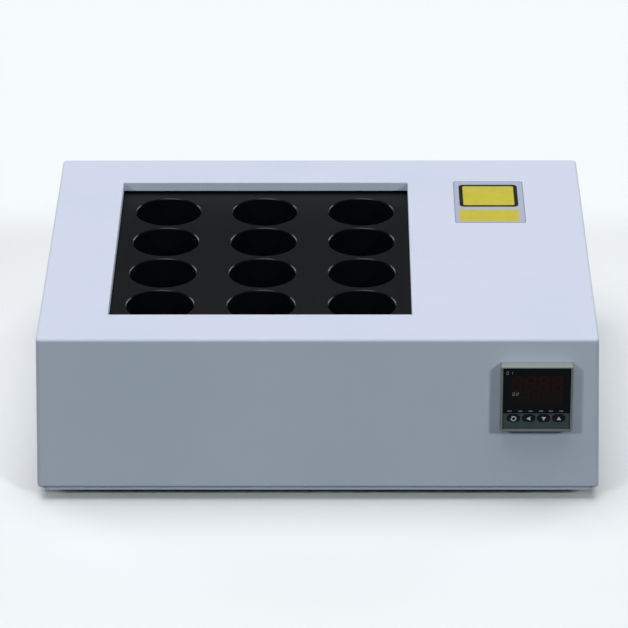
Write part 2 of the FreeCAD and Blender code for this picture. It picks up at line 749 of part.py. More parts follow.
def make_heater_plate():
    """Aluminium plate that closes the wells from below, bored from the back for its heaters."""
    piece = start_piece("heater_plate", "opening_x", "opening_centre_y", "heater_plate_bottom")
    plan = start_sketch(piece, "XY_Plane")
    draw_rectangle(plan, "block_width", "block_depth")
    add_pad(piece, plan, "heater_plate_height")
    soften(piece, "Fillet", "block_corner", lambda middle, way: is_upright(way))
    heater_bores = start_sketch(piece, "XZ_Plane", "-block_depth / 2")
    for number in range(int(SIZES["heater_count"])):
        draw_circle(heater_bores, "heater_diameter + 2 * bore_fit",
                    f"({number} - (heater_count - 1) / 2) * heater_pitch", "heater_height")
    add_pocket(piece, heater_bores, "heater_length + heater_diameter / 4", backwards=True)
    sensor_bore = start_sketch(piece, "XZ_Plane", "-block_depth / 2")
    draw_circle(sensor_bore, "sensor_diameter + 2 * bore_fit", "0", "heater_height")
    add_pocket(piece, sensor_bore, "sensor_length + sensor_diameter / 4", backwards=True)
    bolt_holes = start_sketch(piece, "XY_Plane")
    for x, y in four_places("bolt_x", "bolt_y"):
        draw_circle(bolt_holes, "bolt_diameter + 2 * screw_clearance", x, y)
    add_pocket(piece, bolt_holes, "2 * heater_plate_height", backwards=True)


def make_heaters():
    """Cartridge heaters and the temperature sensor, pushed into the heater plate from the back."""
    back = "opening_centre_y + block_depth / 2"
    level = "heater_plate_bottom + heater_height"
    rods = [(f"cartridge_heater_{number + 1}",
             f"opening_x + ({number} - (heater_count - 1) / 2) * heater_pitch", "heater")
            for number in range(int(SIZES["heater_count"]))]
    for name, x, kind in rods + [("block_sensor", "opening_x", "sensor")]:
        piece = start_piece(name, x, back, level)
        rod = start_sketch(piece, "XZ_Plane")
        draw_circle(rod, f"{kind}_diameter")
        add_pad(piece, rod, f"{kind}_length")
        head = start_sketch(piece, "XZ_Plane")
        draw_circle(head, f"{kind}_head_diameter")
        add_pad(piece, head, f"{kind}_head_length", backwards=True)


def make_overheat_cutout():
    """Disc cut-out against the heater plate's underside, with two flat tabs."""
    piece = start_piece("overheat_cutout", "opening_x", "opening_centre_y", "heater_plate_bottom")
    add_turning(piece, [
        ("0", "0"),
        ("cutout_flange_diameter / 2", "0"),
        ("cutout_flange_diameter / 2", "-cutout_flange_height"),
        ("cutout_can_diameter / 2", "-cutout_flange_height"),
        ("cutout_can_diameter / 2", "-cutout_flange_height - cutout_can_height"),
        ("0", "-cutout_flange_height - cutout_can_height"),
    ])
    tabs = start_sketch(piece, "XY_Plane", "-cutout_flange_height - cutout_can_height")
    for side in "-+":
        draw_rectangle(tabs, "cutout_tab_sheet", "cutout_tab_width", f"{side}cutout_tab_pitch / 2")
    add_pad(piece, tabs, "cutout_tab_length", backwards=True)


def make_block_mounting():
    """Spacers and bolts that carry the plate and the block on the floor of the inner case."""
    x, y = "opening_x - bolt_x", "opening_centre_y - bolt_y"
    piece = start_piece("block_spacers", x, y, "case_floor")
    ring = start_sketch(piece, "XY_Plane")
    draw_circle(ring, "spacer_diameter")
    draw_circle(ring, "bolt_diameter + 2 * screw_clearance")
    add_grid(piece, add_pad(piece, ring, "board_thickness"), "2 * bolt_x", "2 * bolt_y")
    piece = start_piece("block_bolts", x, y, "case_bottom")
    shank = turn_screw(piece, "bolt_diameter", "bolt_head_width", "bolt_head_height",
                       "case_sheet + board_thickness + heater_plate_height + bolt_grip",
                       crown="bolt_crown")
    add_grid(piece, shank, "2 * bolt_x", "2 * bolt_y")


def make_insulation():
    """Fibre blanket wrapped round the block, and the board under it."""
    piece = start_piece("wrap_insulation", "opening_x", "opening_centre_y", "case_floor")
    ring = start_sketch(piece, "XY_Plane")
    draw_rectangle(ring, "wrap_width", "wrap_depth")
    draw_rectangle(ring, "block_width + 2 * wrap_gap", "block_depth + 2 * wrap_gap")
    add_pad(piece, ring, "block_top - wrap_drop - case_floor")
    window = start_sketch(piece, "XZ_Plane", "-wrap_depth / 2")
    draw_rectangle(window, "lead_window_width", "lead_window_height",
                   "0", "board_thickness + heater_height")
    add_pocket(piece, window, "wrap_thickness", backwards=True)

    piece = start_piece("base_insulation", "opening_x", "opening_centre_y", "case_floor")
    board = start_sketch(piece, "XY_Plane")
    draw_rectangle(board, "block_width", "block_depth")
    for x, y in four_places("bolt_x", "bolt_y"):
        draw_circle(board, "spacer_diameter + 2 * wrap_gap", x, y)
    for x, y in four_places("pillar_x", "pillar_y"):
        draw_circle(board, "medium_nut_width + 2 * board_hole_gap", x, y)
    draw_circle(board, "cutout_flange_diameter + 2 * board_hole_gap")
    add_pad(piece, board, "board_thickness")


def make_inner_case():
    """Open box of thin sheet round the insulation."""
    piece = start_piece("inner_case", "opening_x", "opening_centre_y", "case_bottom")
    plan = start_sketch(piece, "XY_Plane")
    draw_rectangle(plan, "case_width", "case_depth")
    add_pad(piece, plan, "case_height")
    soften(piece, "Fillet", "case_bend", lambda middle, way: is_upright(way))
    hollow = start_sketch(piece, "XY_Plane", "case_height")
    draw_rectangle(hollow, "case_width - 2 * case_sheet", "case_depth - 2 * case_sheet")
    add_pocket(piece, hollow, "case_height - case_sheet")
    holes = start_sketch(piece, "XY_Plane")
    for x, y in four_places("bolt_x", "bolt_y"):
        draw_circle(holes, "bolt_diameter + 2 * screw_clearance", x, y)
    for x, y in four_places("pillar_x", "pillar_y"):
        draw_circle(holes, "medium_screw_diameter + 2 * screw_clearance", x, y)
    add_pocket(piece, holes, "2 * case_sheet", backwards=True)
    window = start_sketch(piece, "XZ_Plane", "-case_depth / 2")
    draw_rectangle(window, "lead_window_width", "lead_window_height", "0",
                   "case_sheet + board_thickness + heater_height")
    add_pocket(piece, window, "2 * case_sheet", backwards=True)


def make_bay_shield():
    """Bent sheet between the hot case and the electrical bay, welded to the base by its foot."""
    piece = start_piece("bay_shield", "shield_x", "housing_y", "plate_top")
    section = start_sketch(piece, "XZ_Plane")
    draw_outline(section, [
        ("0", "0"),
        ("shield_foot", "0"),
        ("shield_foot", "shield_sheet"),
        ("shield_sheet", "shield_sheet"),
        ("shield_sheet", "shield_height"),
        ("0", "shield_height"),
    ])
    add_pad(piece, section, "shield_length", both_ways=True)


def start_controller_piece(name):
    """Start a piece of the controller: its origin is on the front panel, behind the bezel's middle."""
    return start_piece(name, "controller_x", "front_y", "controller_z")


def key_places():
    """Give the places of the keys across the controller."""
    return [f"({number} - (key_count - 1) / 2) * key_pitch"
            for number in range(int(SIZES["key_count"]))]


def make_controller_front():
    """Bezel with its recess, the window and the key band that lie in it."""
    piece = start_controller_piece("controller_bezel")
    face = start_sketch(piece, "XZ_Plane")
    draw_rectangle(face, "bezel_width", "bezel_width")
    add_pad(piece, face, "bezel_proud")
    front = -size("bezel_proud")
    soften(piece, "Fillet", "bezel_corner", lambda middle, way: abs(way.y) > 1)
    soften(piece, "Chamfer", "bezel_edge", lambda middle, way: abs(middle.y - front) < CLOSE)
    recess = start_sketch(piece, "XZ_Plane", "bezel_proud")
    draw_rectangle(recess, "window_opening", "recess_height", "0", "recess_rise")
    add_pocket(piece, recess, "bezel_recess")
    hollow = start_sketch(piece, "XZ_Plane")
    draw_rectangle(hollow, "window_opening", "window_opening")
    add_pocket(piece, hollow, "web_back", backwards=True)
    openings = start_sketch(piece, "XZ_Plane", "web_front")
    draw_rectangle(openings, "display_width + 2 * housing_gap", "display_height + 2 * housing_gap",
                   "0", "display_rise")
    for x in key_places():
        draw_slot(openings, "key_length + 2 * key_gap", "key_width + 2 * key_gap", x, "-key_drop")
    add_pocket(piece, openings, "bezel_web")

    piece = start_controller_piece("controller_window")
    plate = start_sketch(piece, "XZ_Plane", "web_front")
    draw_rectangle(plate, "window_opening - 2 * housing_gap", "window_height - housing_gap", "0",
                   "recess_rise + (recess_height - window_height - housing_gap) / 2")
    add_pad(piece, plate, "window_sheet")

    piece = start_controller_piece("controller_fascia")
    band = start_sketch(piece, "XZ_Plane", "web_front")
    draw_rectangle(band, "window_opening - 2 * housing_gap", "band_height - housing_gap", "0",
                   "recess_rise - (recess_height - band_height - housing_gap) / 2")
    for x in key_places():
        draw_slot(band, "key_length + 2 * key_gap", "key_width + 2 * key_gap", x, "-key_drop")
    add_pad(piece, band, "fascia_sheet")


def make_keys():
    """Four keys, each an oval cap with a wider flange behind the bezel's web."""
    for name, x in zip(("set", "shift", "down", "up"), key_places()):
        piece = start_controller_piece(f"key_{name}")
        flange = start_sketch(piece, "XZ_Plane", "web_back - key_seat_gap")
        draw_slot(flange, "key_length + 2 * key_gap + 2 * key_end_rim",
                  "key_width + 2 * key_gap + 2 * key_side_rim", x, "-key_drop")
        add_pad(piece, flange, "key_flange", backwards=True)
        cap = start_sketch(piece, "XZ_Plane", "web_back - key_seat_gap")
        draw_slot(cap, "key_length", "key_width", x, "-key_drop")
        add_pad(piece, cap, "key_seat_gap + bezel_web + fascia_sheet + key_proud")
        front = -size("web_front + fascia_sheet + key_proud")
        soften(piece, "Fillet", "key_round", lambda middle, way: middle.y < front + CLOSE)


def make_controller_body():
    """Display, circuit board, housing with its screw terminals, and the clamp behind the panel."""
    piece = start_controller_piece("controller_circuit")
    board = start_sketch(piece, "XZ_Plane", "circuit_front")
    side = "housing_width - 2 * housing_wall - 2 * housing_gap"
    draw_rectangle(board, side, side)
    add_pad(piece, board, "circuit_sheet", backwards=True)

    piece = start_controller_piece("display_module")
    block = start_sketch(piece, "XZ_Plane", "circuit_front")
    draw_rectangle(block, "display_width", "display_height", "0", "display_rise")
    add_pad(piece, block, "web_front - circuit_front")

    piece = start_controller_piece("controller_housing")
    shell = start_sketch(piece, "XZ_Plane", "web_back - housing_gap")
    draw_rectangle(shell, "housing_width", "housing_width")
    add_pad(piece, shell, "web_back - housing_gap + housing_length", backwards=True)
    hollow = start_sketch(piece, "XZ_Plane", "web_back - housing_gap")
    draw_rectangle(hollow, "housing_width - 2 * housing_wall", "housing_width - 2 * housing_wall")
    add_pocket(piece, hollow, "web_back - housing_gap + housing_length - housing_wall")

    piece = start_controller_piece("controller_terminals")
    block = start_sketch(piece, "XZ_Plane", "-housing_length")
    side = "housing_width - 2 * lug_block_margin"
    draw_rectangle(block, side, side)
    add_pad(piece, block, "lug_block_length", backwards=True)
    lugs = start_sketch(piece, "XZ_Plane", "-housing_length - lug_block_length")
    for row in "-+":
        for number in range(int(SIZES["lug_count"])):
            draw_circle(lugs, "lug_diameter", f"{row}lug_row_pitch / 2",
                        f"({number} - (lug_count - 1) / 2) * lug_pitch")
    add_pocket(piece, lugs, "lug_depth", backwards=True)

    piece = start_controller_piece("controller_clamp")
    ring = start_sketch(piece, "XZ_Plane", "-cover_sheet")
    draw_rectangle(ring, "housing_width + 2 * housing_gap + 2 * clamp_wall",
                   "housing_width + 2 * housing_gap + 2 * clamp_wall")
    draw_rectangle(ring, "housing_width + 2 * housing_gap", "housing_width + 2 * housing_gap")
    add_pad(piece, ring, "clamp_length", backwards=True)


def make_power_parts():
    """Solid state relay on its finned sink, the terminal strip and the earth stud."""
    piece = start_piece("relay_heatsink", "bay_x", "sink_y", "plate_top")
    comb = [("-sink_width / 2", "sink_height"), ("-sink_width / 2", "0")]
    step = "(sink_width - sink_fin) / (sink_fins - 1)"
    for number in range(int(SIZES["sink_fins"])):
        left = f"-sink_width / 2 + {number} * {step}"
        if number > 0:
            comb += [(left, "sink_height - sink_base"), (left, "0")]
        comb.append((f"{left} + sink_fin", "0"))
        if number < SIZES["sink_fins"] - 1:
            comb.append((f"{left} + sink_fin", "sink_height - sink_base"))
    comb.append(("sink_width / 2", "sink_height"))
    section = start_sketch(piece, "XZ_Plane")
    draw_outline(section, comb)
    add_pad(piece, section, "sink_length", both_ways=True)

    piece = start_piece("solid_state_relay", "bay_x", "sink_y", "plate_top + sink_height")
    side_view = start_sketch(piece, "YZ_Plane")
    end, step = "relay_length / 2", "relay_length / 2 - relay_step_length"
    draw_outline(side_view, [
        (f"-{end}", "0"), (end, "0"), (end, "relay_step_height"), (step, "relay_step_height"),
        (step, "relay_height"), (f"-({step})", "relay_height"), (f"-({step})", "relay_step_height"),
        (f"-{end}", "relay_step_height"),
    ])
    add_pad(piece, side_view, "relay_width", both_ways=True)
    screws = start_sketch(piece, "XY_Plane", "relay_step_height")
    for x, y in four_places("relay_width / 2 - relay_screw_inset",
                            "relay_length / 2 - relay_step_length / 2"):
        draw_circle(screws, "relay_screw_diameter", x, y)
    add_pad(piece, screws, "relay_screw_height")

    piece = start_piece("terminal_strip", "bay_x", "strip_y", "plate_top")
    base = start_sketch(piece, "XY_Plane")
    draw_rectangle(base, "strip_length", "strip_width")
    add_pad(piece, base, "strip_height")
    ribs = start_sketch(piece, "XY_Plane")
    screws = start_sketch(piece, "XY_Plane", "strip_height")
    ways = int(SIZES["strip_ways"])
    for number in range(ways + 1):
        draw_rectangle(ribs, "strip_rib", "strip_width", f"({number} - strip_ways / 2) * strip_pitch")
    for number in range(ways):
        for row in "-+":
            draw_circle(screws, "strip_screw_diameter",
                        f"({number} + 1 / 2 - strip_ways / 2) * strip_pitch", f"{row}strip_width / 4")
    add_pad(piece, ribs, "strip_rib_height")
    add_pad(piece, screws, "strip_screw_height")

    piece = start_piece("earth_stud", "stud_x", "stud_y", "plate_top")
    add_turning(piece, [
        ("0", "-plate_sheet"),
        ("medium_screw_diameter / 2", "-plate_sheet"),
        ("medium_screw_diameter / 2", "0"),
        ("stud_flange_diameter / 2", "0"),
        ("stud_flange_diameter / 2", "stud_flange_height"),
        ("medium_screw_diameter / 2", "stud_flange_height"),
        ("medium_screw_diameter / 2", "stud_length"),
        ("0", "stud_length"),
    ])


def start_inlet_piece(name):
    """Start a piece of the inlet: its origin is on the back panel's outer face."""
    return start_piece(name, "bay_x", "back_y", "inlet_height")


def blade_places():
    """Give the places of the three inlet blades: the earth blade is the upper one."""
    return [("-blade_pitch / 2", "-socket_drop - blade_rise"), ("0", "blade_rise - socket_drop"),
            ("blade_pitch / 2", "-socket_drop - blade_rise")]


def make_inlet():
    """Inlet housing with socket, rocker well and drawer slot, and what is fixed in it."""
    piece = start_inlet_piece("inlet_housing")
    body = start_sketch(piece, "XZ_Plane")
    draw_rectangle(body, "inlet_body_width", "inlet_body_height")
    add_pad(piece, body, "inlet_body_depth")
    flange = start_sketch(piece, "XZ_Plane")
    draw_rectangle(flange, "inlet_flange_width", "inlet_flange_height")
    add_pad(piece, flange, "inlet_flange", backwards=True)
    ears = start_sketch(piece, "XZ_Plane")
    draw_slot(ears, "inlet_ear_span", "inlet_ear_width", "0", "-socket_drop")
    add_pad(piece, ears, "inlet_flange", backwards=True)
    half_width, half_height = size("inlet_flange_width / 2"), size("inlet_flange_height / 2")
    soften(piece, "Fillet", "inlet_flange_corner", lambda middle, way:
           middle.y > CLOSE and abs(way.y) > CLOSE
           and abs(abs(middle.x) - half_width) < CLOSE and abs(abs(middle.z) - half_height) < CLOSE)

    socket = start_sketch(piece, "XZ_Plane", "-inlet_flange")
    half_socket = "socket_width / 2"
    low, high = "-socket_drop - socket_height / 2", "socket_height / 2 - socket_drop"
    draw_outline(socket, [
        (f"-{half_socket}", low), (half_socket, low), (half_socket, f"{high} - socket_cut"),
        (f"{half_socket} - socket_cut", high), (f"-{half_socket} + socket_cut", high),
        (f"-{half_socket}", f"{high} - socket_cut"),
    ])
    add_pocket(piece, socket, "socket_depth", backwards=True)
    well = start_sketch(piece, "XZ_Plane", "-inlet_flange")
    draw_rectangle(well, "2 * rocker_radius + 2 * rocker_gap", "rocker_width + 2 * rocker_gap",
                   "0", "rocker_rise")
    add_pocket(piece, well, "rocker_well_depth", backwards=True)
    slot = start_sketch(piece, "XZ_Plane", "-inlet_flange")
    draw_rectangle(slot, "drawer_width + 2 * drawer_gap", "drawer_height + 2 * drawer_gap",
                   "0", "-drawer_drop")
    add_pocket(piece, slot, "drawer_length + drawer_gap", backwards=True)
    blades = start_sketch(piece, "XZ_Plane", "inlet_body_depth")
    for x, z in blade_places():
        draw_rectangle(blades, "blade_width + 2 * blade_fit", "blade_height + 2 * blade_fit", x, z)
    add_pocket(piece, blades, "inlet_body_depth")
    pins = start_sketch(piece, "XY_Plane", "rocker_rise")
    draw_circle(pins, "rocker_pin_diameter + 2 * rocker_pin_fit",
                "0", "inlet_flange - rocker_pivot_depth")
    add_pocket(piece, pins, "rocker_width + 2 * rocker_gap + 2 * rocker_pin_length", both_ways=True)
    screws = start_sketch(piece, "XZ_Plane", "-inlet_flange")
    for side in "-+":
        draw_circle(screws, "small_screw_diameter + 2 * screw_clearance",
                    f"{side}inlet_screw_pitch / 2", "-socket_drop")
    add_pocket(piece, screws, "2 * inlet_flange", backwards=True)

    piece = start_inlet_piece("inlet_blades")
    blades = start_sketch(piece, "XZ_Plane", "socket_depth - inlet_flange - blade_length")
    for x, z in blade_places():
        draw_rectangle(blades, "blade_width", "blade_height", x, z)
    add_pad(piece, blades, "inlet_body_depth + inlet_flange - socket_depth + blade_length + tab_length")

    piece = start_inlet_piece("inlet_screws")
    for side in "-+":
        shank = start_sketch(piece, "XZ_Plane", "-inlet_flange")
        draw_circle(shank, "small_screw_diameter", f"{side}inlet_screw_pitch / 2", "-socket_drop")
        add_pad(piece, shank, "inlet_flange + cover_sheet + small_screw_reach")
        head = start_sketch(piece, "XZ_Plane", "-inlet_flange")
        draw_circle(head, "small_head_diameter", f"{side}inlet_screw_pitch / 2", "-socket_drop")
        add_pad(piece, head, "small_head_height", backwards=True)


def make_rocker():
    """Rocker of the mains switch, at rest in its OFF place, with a pin at each side."""
    piece = start_piece("rocker", "bay_x", "back_y + inlet_flange - rocker_pivot_depth",
                        "inlet_height + rocker_rise")
    piece.setExpression("Placement.Rotation.Angle", formula("-rocker_tilt"))
    section = start_sketch(piece, "XY_Plane")
    radius = size("rocker_radius")
    corner, skirt = size("rocker_corner_angle"), size("rocker_skirt_angle")
    circle = Part.Circle(Vector(0, 0, 0), Vector(0, 0, 1), radius)
    corner_rise = "rocker_radius * sin(rocker_corner_angle)"
    skirt_rise = "-rocker_radius * sin(rocker_skirt_angle)"
    ends = []
    for first, last, rises in ((-skirt, corner, (skirt_rise, corner_rise)),
                               (HALF_TURN - corner, HALF_TURN + skirt, (corner_rise, skirt_rise))):
        bow = Part.ArcOfCircle(circle, math.radians(first), math.radians(last))
        arc = section.addGeometry(bow, False)
        fix_point(section, arc, 3, "0", "0")
        number = section.addConstraint(Sketcher.Constraint("Radius", arc, radius))
        section.setExpression(f"Constraints[{number}]", formula("rocker_radius"))
        for point, rise in zip((1, 2), rises):
            number = section.addConstraint(Sketcher.Constraint("DistanceY", arc, point, size(rise)))
            section.setExpression(f"Constraints[{number}]", formula(rise))
        ends.append(arc)
    right, left = ends
    dip = Vector(0, size("rocker_dip"), 0)
    right_top, left_top = section.Geometry[right].EndPoint, section.Geometry[left].StartPoint
    left_low, right_low = section.Geometry[left].EndPoint, section.Geometry[right].StartPoint
    to_dip = section.addGeometry(Part.LineSegment(right_top, dip), False)
    from_dip = section.addGeometry(Part.LineSegment(dip, left_top), False)
    base = section.addGeometry(Part.LineSegment(left_low, right_low), False)
    for one, one_point, other, other_point in ((right, 2, to_dip, 1), (to_dip, 2, from_dip, 1),
                                               (from_dip, 2, left, 1), (left, 2, base, 1),
                                               (base, 2, right, 1)):
        section.addConstraint(Sketcher.Constraint("Coincident", one, one_point, other, other_point))
    fix_point(section, to_dip, 2, "0", "rocker_dip")
    add_pad(piece, section, "rocker_width", both_ways=True)
    pins = start_sketch(piece, "XY_Plane")
    draw_circle(pins, "rocker_pin_diameter")
    add_pad(piece, pins, "rocker_width + 2 * rocker_pin_length", both_ways=True)


def make_fuse_drawer():
    """Fuse drawer with a finger lip, and the fuse that lies in it."""
    piece = start_inlet_piece("fuse_drawer")
    block = start_sketch(piece, "XZ_Plane", "-inlet_flange")
    draw_rectangle(block, "drawer_width", "drawer_height", "0", "-drawer_drop")
    add_pad(piece, block, "drawer_length")
    lip = start_sketch(piece, "XZ_Plane", "-inlet_flange")
    draw_rectangle(lip, "drawer_width / 2", "drawer_lip_height",
                   "0", "-drawer_drop + drawer_height / 2 - drawer_lip_height / 2")
    add_pad(piece, lip, "drawer_lip", backwards=True)
    fuse_y = "inlet_flange - drawer_length + fuse_setback + fuse_diameter / 2"
    bed = start_sketch(piece, "XY_Plane", "-drawer_drop + drawer_height / 2")
    draw_rectangle(bed, "fuse_length + 2 * fuse_gap", "fuse_diameter + 2 * fuse_gap", "0", fuse_y)
    add_pocket(piece, bed, "drawer_height - drawer_wall")

    piece = start_piece("fuse", "bay_x", f"back_y + {fuse_y}",
                        "inlet_height - drawer_drop - drawer_height / 2 + drawer_wall + fuse_gap"
                        " + fuse_diameter / 2")
    glass = start_sketch(piece, "YZ_Plane")
    draw_circle(glass, "fuse_glass_diameter")
    add_pad(piece, glass, "fuse_length", both_ways=True)
    for level, backwards in (("fuse_length / 2", True), ("-fuse_length / 2", False)):
        cap = start_sketch(piece, "YZ_Plane", level)
        draw_circle(cap, "fuse_diameter")
        add_pad(piece, cap, "fuse_cap_length", backwards=backwards)


def make_label():
    """Film label stuck on the top of the cover, at the right."""
    piece = start_piece("top_label", "cover_top_width / 2 - label_side_margin",
                        "back_y - label_back_margin", "cover_top")
    film = start_sketch(piece, "XY_Plane")
    draw_rectangle(film, "label_width", "label_depth")
    add_pad(piece, film, "label_film")
    soften(piece, "Fillet", "label_corner", lambda middle, way: is_upright(way))


def check_model():
    """Stop if anything in the document failed to build."""
    doc.recompute()
    for item in doc.Objects:
        if "Invalid" in item.State or "Error" in item.State:
            raise RuntimeError(f"{item.Name} failed: {item.getStatusString()}")
    for piece in pieces:
        if piece.Shape.isNull() or not piece.Shape.isValid():
            raise RuntimeError(f"{piece.Label} has no valid shape")


def write_parts():
    """Write each piece to its own file."""
    os.makedirs("parts", exist_ok=True)
    for piece in pieces:
        piece.Shape.exportStep(f"parts/{piece.Label}.step")


fill_sheet()
make_top_cover()
make_base_plate()
make_feet()
make_base_fasteners()
make_heating_block()
make_heater_plate()
make_heaters()
make_overheat_cutout()
make_block_mounting()
make_insulation()
make_inner_case()
make_bay_shield()
make_controller_front()
make_keys()
make_controller_body()
make_power_parts()
make_inlet()
make_rocker()
make_fuse_drawer()
make_label()
check_model()
write_parts()
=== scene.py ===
"""Dressing of a dry heating block with twelve wells: finishes, marks, screws and studio."""

import math

import bmesh
import bpy
from bpy.props import FloatProperty, FloatVectorProperty, PointerProperty
from mathutils import Matrix, Vector


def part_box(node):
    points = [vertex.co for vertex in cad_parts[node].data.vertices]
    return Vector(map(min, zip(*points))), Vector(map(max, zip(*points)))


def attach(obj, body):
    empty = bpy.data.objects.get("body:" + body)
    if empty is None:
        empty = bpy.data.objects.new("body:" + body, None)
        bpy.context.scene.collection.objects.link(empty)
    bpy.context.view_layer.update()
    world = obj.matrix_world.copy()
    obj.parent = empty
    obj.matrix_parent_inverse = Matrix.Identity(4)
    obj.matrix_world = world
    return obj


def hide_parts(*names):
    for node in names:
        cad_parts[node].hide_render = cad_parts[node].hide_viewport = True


bl_info = {
    "name": "Heating block dressing",
    "version": (1, 0, 0),
    "blender": (4, 5, 0),
    "location": "3D View > Sidebar > Heating block",
    "description": "Gives a dry heating block its finishes, marks, screws and studio",
    "category": "Object",
}

MM = 0.001
HOUSING = "housing"

# Where a pattern leaves its first tone and where it reaches its second, from 0 to 1.
DRIFT_START, DRIFT_END = 0.3, 0.7
# How far up a face looks, as its normal's Z, where the upward tone starts and where it is full.
UPWARD_START, UPWARD_END = 0.8, 0.98
# How far a wave texture turns over one unit of its vector, in radians.
WAVE_RADIANS = 20
# A plain finish: its second tone as a share of the first, its patches in mm, and how much
# rougher it gets from patch to patch.
PLAIN_SHADE, PLAIN_PATCH, PLAIN_SPREAD = 0.93, 9.0, 0.08

# Outline of a screw head from its middle to its seat, in shares of its radius and height.
HEAD_OUTLINE = ((0, 1), (0.45, 0.97), (0.75, 0.8), (0.93, 0.5), (1.0, 0.12), (1.0, 0))
# Its cross recess: reach and half width as shares of the radius, and floor as one of the height.
RECESS_REACH, RECESS_HALF, RECESS_FLOOR = 0.6, 0.13, 0.45
# Head and shank of the small and the large screws, in mm across.
SMALL_SCREW, LARGE_SCREW = (5.6, 3.0), (7.6, 4.0)
# Rubber between the base plate and the head of a foot's screw, in mm.
FOOT_SEAT = 3.0
# How far the cross of an inlet screw is turned.
INLET_TURN = math.radians(20)

# Thickness of the label's inks and edge, and of the rocker's marks, in mm.
LABEL_INK, ROCKER_MARK = 0.02, 0.03

# The studio, in metres: half the floor's width, and the wall's distance, height and sides.
FLOOR_REACH, WALL_DISTANCE, WALL_HEIGHT, WALL_SIDES = 30.0, 20.0, 2.0, 64
WHITE = (1.0, 1.0, 1.0)

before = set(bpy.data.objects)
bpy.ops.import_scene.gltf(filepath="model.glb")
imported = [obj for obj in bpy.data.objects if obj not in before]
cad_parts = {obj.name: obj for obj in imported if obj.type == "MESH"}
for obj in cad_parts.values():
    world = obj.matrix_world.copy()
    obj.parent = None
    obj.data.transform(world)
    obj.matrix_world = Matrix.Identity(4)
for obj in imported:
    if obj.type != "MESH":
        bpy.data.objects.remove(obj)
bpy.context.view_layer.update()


def linear(hex_colour):
    """Turn an sRGB hex colour into linear red, green and blue."""
    channels = []
    for start in (0, 2, 4):
        share = int(hex_colour[start:start + 2], 16) / 255
        channels.append(share / 12.92 if share <= 0.04045 else ((share + 0.055) / 1.055) ** 2.4)
    return tuple(channels)


def colour_property(name, description, hex_colour):
    """Describe a colour that a user can change."""
    return FloatVectorProperty(name=name, description=description, subtype="COLOR", size=3,
                               min=0.0, max=1.0, default=linear(hex_colour))


def length_property(name, description, millimetres):
    """Describe a length that a user can change."""
    return FloatProperty(name=name, description=description, unit="LENGTH", precision=5,
                         min=0.0, default=millimetres * MM)


def strength_property(name, description, strength):
    """Describe the strength of a light that a user can change."""
    return FloatProperty(name=name, description=description, min=0.0, default=strength)


class HousingSettings(bpy.types.PropertyGroup):
    """Colours and grain of the housing."""

    coat: colour_property("Coat", "Powder coat of the folded cover", "D3D7E9")
    coat_shade: colour_property("Coat shade", "Second tone that the coat drifts to", "CED4E6")
    peel: length_property("Peel", "Width of the waves in the cured powder", 2.4)
    peel_depth: length_property("Peel depth", "Height of those waves", 0.006)
    rubber: colour_property("Feet", "Moulded rubber of the feet", "26272A")
    zinc: colour_property("Zinc", "Zinc plating of the screws", "C4C6C8")


class BlockSettings(bpy.types.PropertyGroup):
    """Colours and tool marks of the heating block."""

    oxide: colour_property("Anodising", "Black oxide of the bores and edges", "0C0D0F")
    oxide_shade: colour_property("Anodising shade", "Second tone of that oxide", "101114")
    oxide_top: colour_property("Anodised top", "Black oxide of the milled top", "0A0B0E")
    feed: length_property("Feed", "Distance between the marks of the face mill", 10.053)
    feed_depth: length_property("Feed depth", "Depth of those marks", 0.002)


class ControllerSettings(bpy.types.PropertyGroup):
    """Colours and print of the temperature controller."""

    bezel: colour_property("Bezel", "Moulded frame of the controller", "7F8381")
    # Painted highlight: the frame's top is paler than its front for the light from above.
    bezel_lit_top: colour_property("Bezel top", "Top of that frame, paler with dust", "969897")
    glass: colour_property("Window", "Smoked acrylic window", "060C15")
    band: colour_property("Key band", "Printed film round the keys", "3E484C")
    key: colour_property("Keys", "Moulded keys", "080A14")
    ink: colour_property("Key ink", "Printed symbols of the keys", "D5DADF")
    small_ink: colour_property("Small ink", "Small printed marks of the window", "868B92")
    display: colour_property("Display", "Cast face of the display behind the window", "170F0B")
    upper_digit: colour_property("Upper digits", "Unlit segments of the upper row", "2A0F0F")
    lower_digit: colour_property("Lower digits", "Unlit segments of the lower row", "1E150B")
    print_height: length_property("Print", "Thickness of a printed mark", 0.03)


class LabelSettings(bpy.types.PropertyGroup):
    """Colours of the film label on the top."""

    film: colour_property("Film", "Clear film over its grey adhesive", "B7BDD2")
    # Painted shade: the darker tone of the film's edge stands for the shadow of its thin step.
    film_edge_shade: colour_property("Film edge", "Cut edge of the film", "8B90A6")
    yellow: colour_property("Yellow", "Screen-printed fields", "CFC143")
    border: colour_property("Border", "Printed border of the upper field", "1F1C12")


class InletSettings(bpy.types.PropertyGroup):
    """Colours of the mains inlet at the back."""

    housing: colour_property("Housing", "Moulded inlet and fuse drawer", "1D1D1F")
    rocker: colour_property("Rocker", "Glossy rocker of the switch", "17171A")
    mark: colour_property("Rocker marks", "Moulded marks for on and off", "E6E6E2")
    nickel: colour_property("Blades", "Nickel plating of the blades", "CFCBC2")


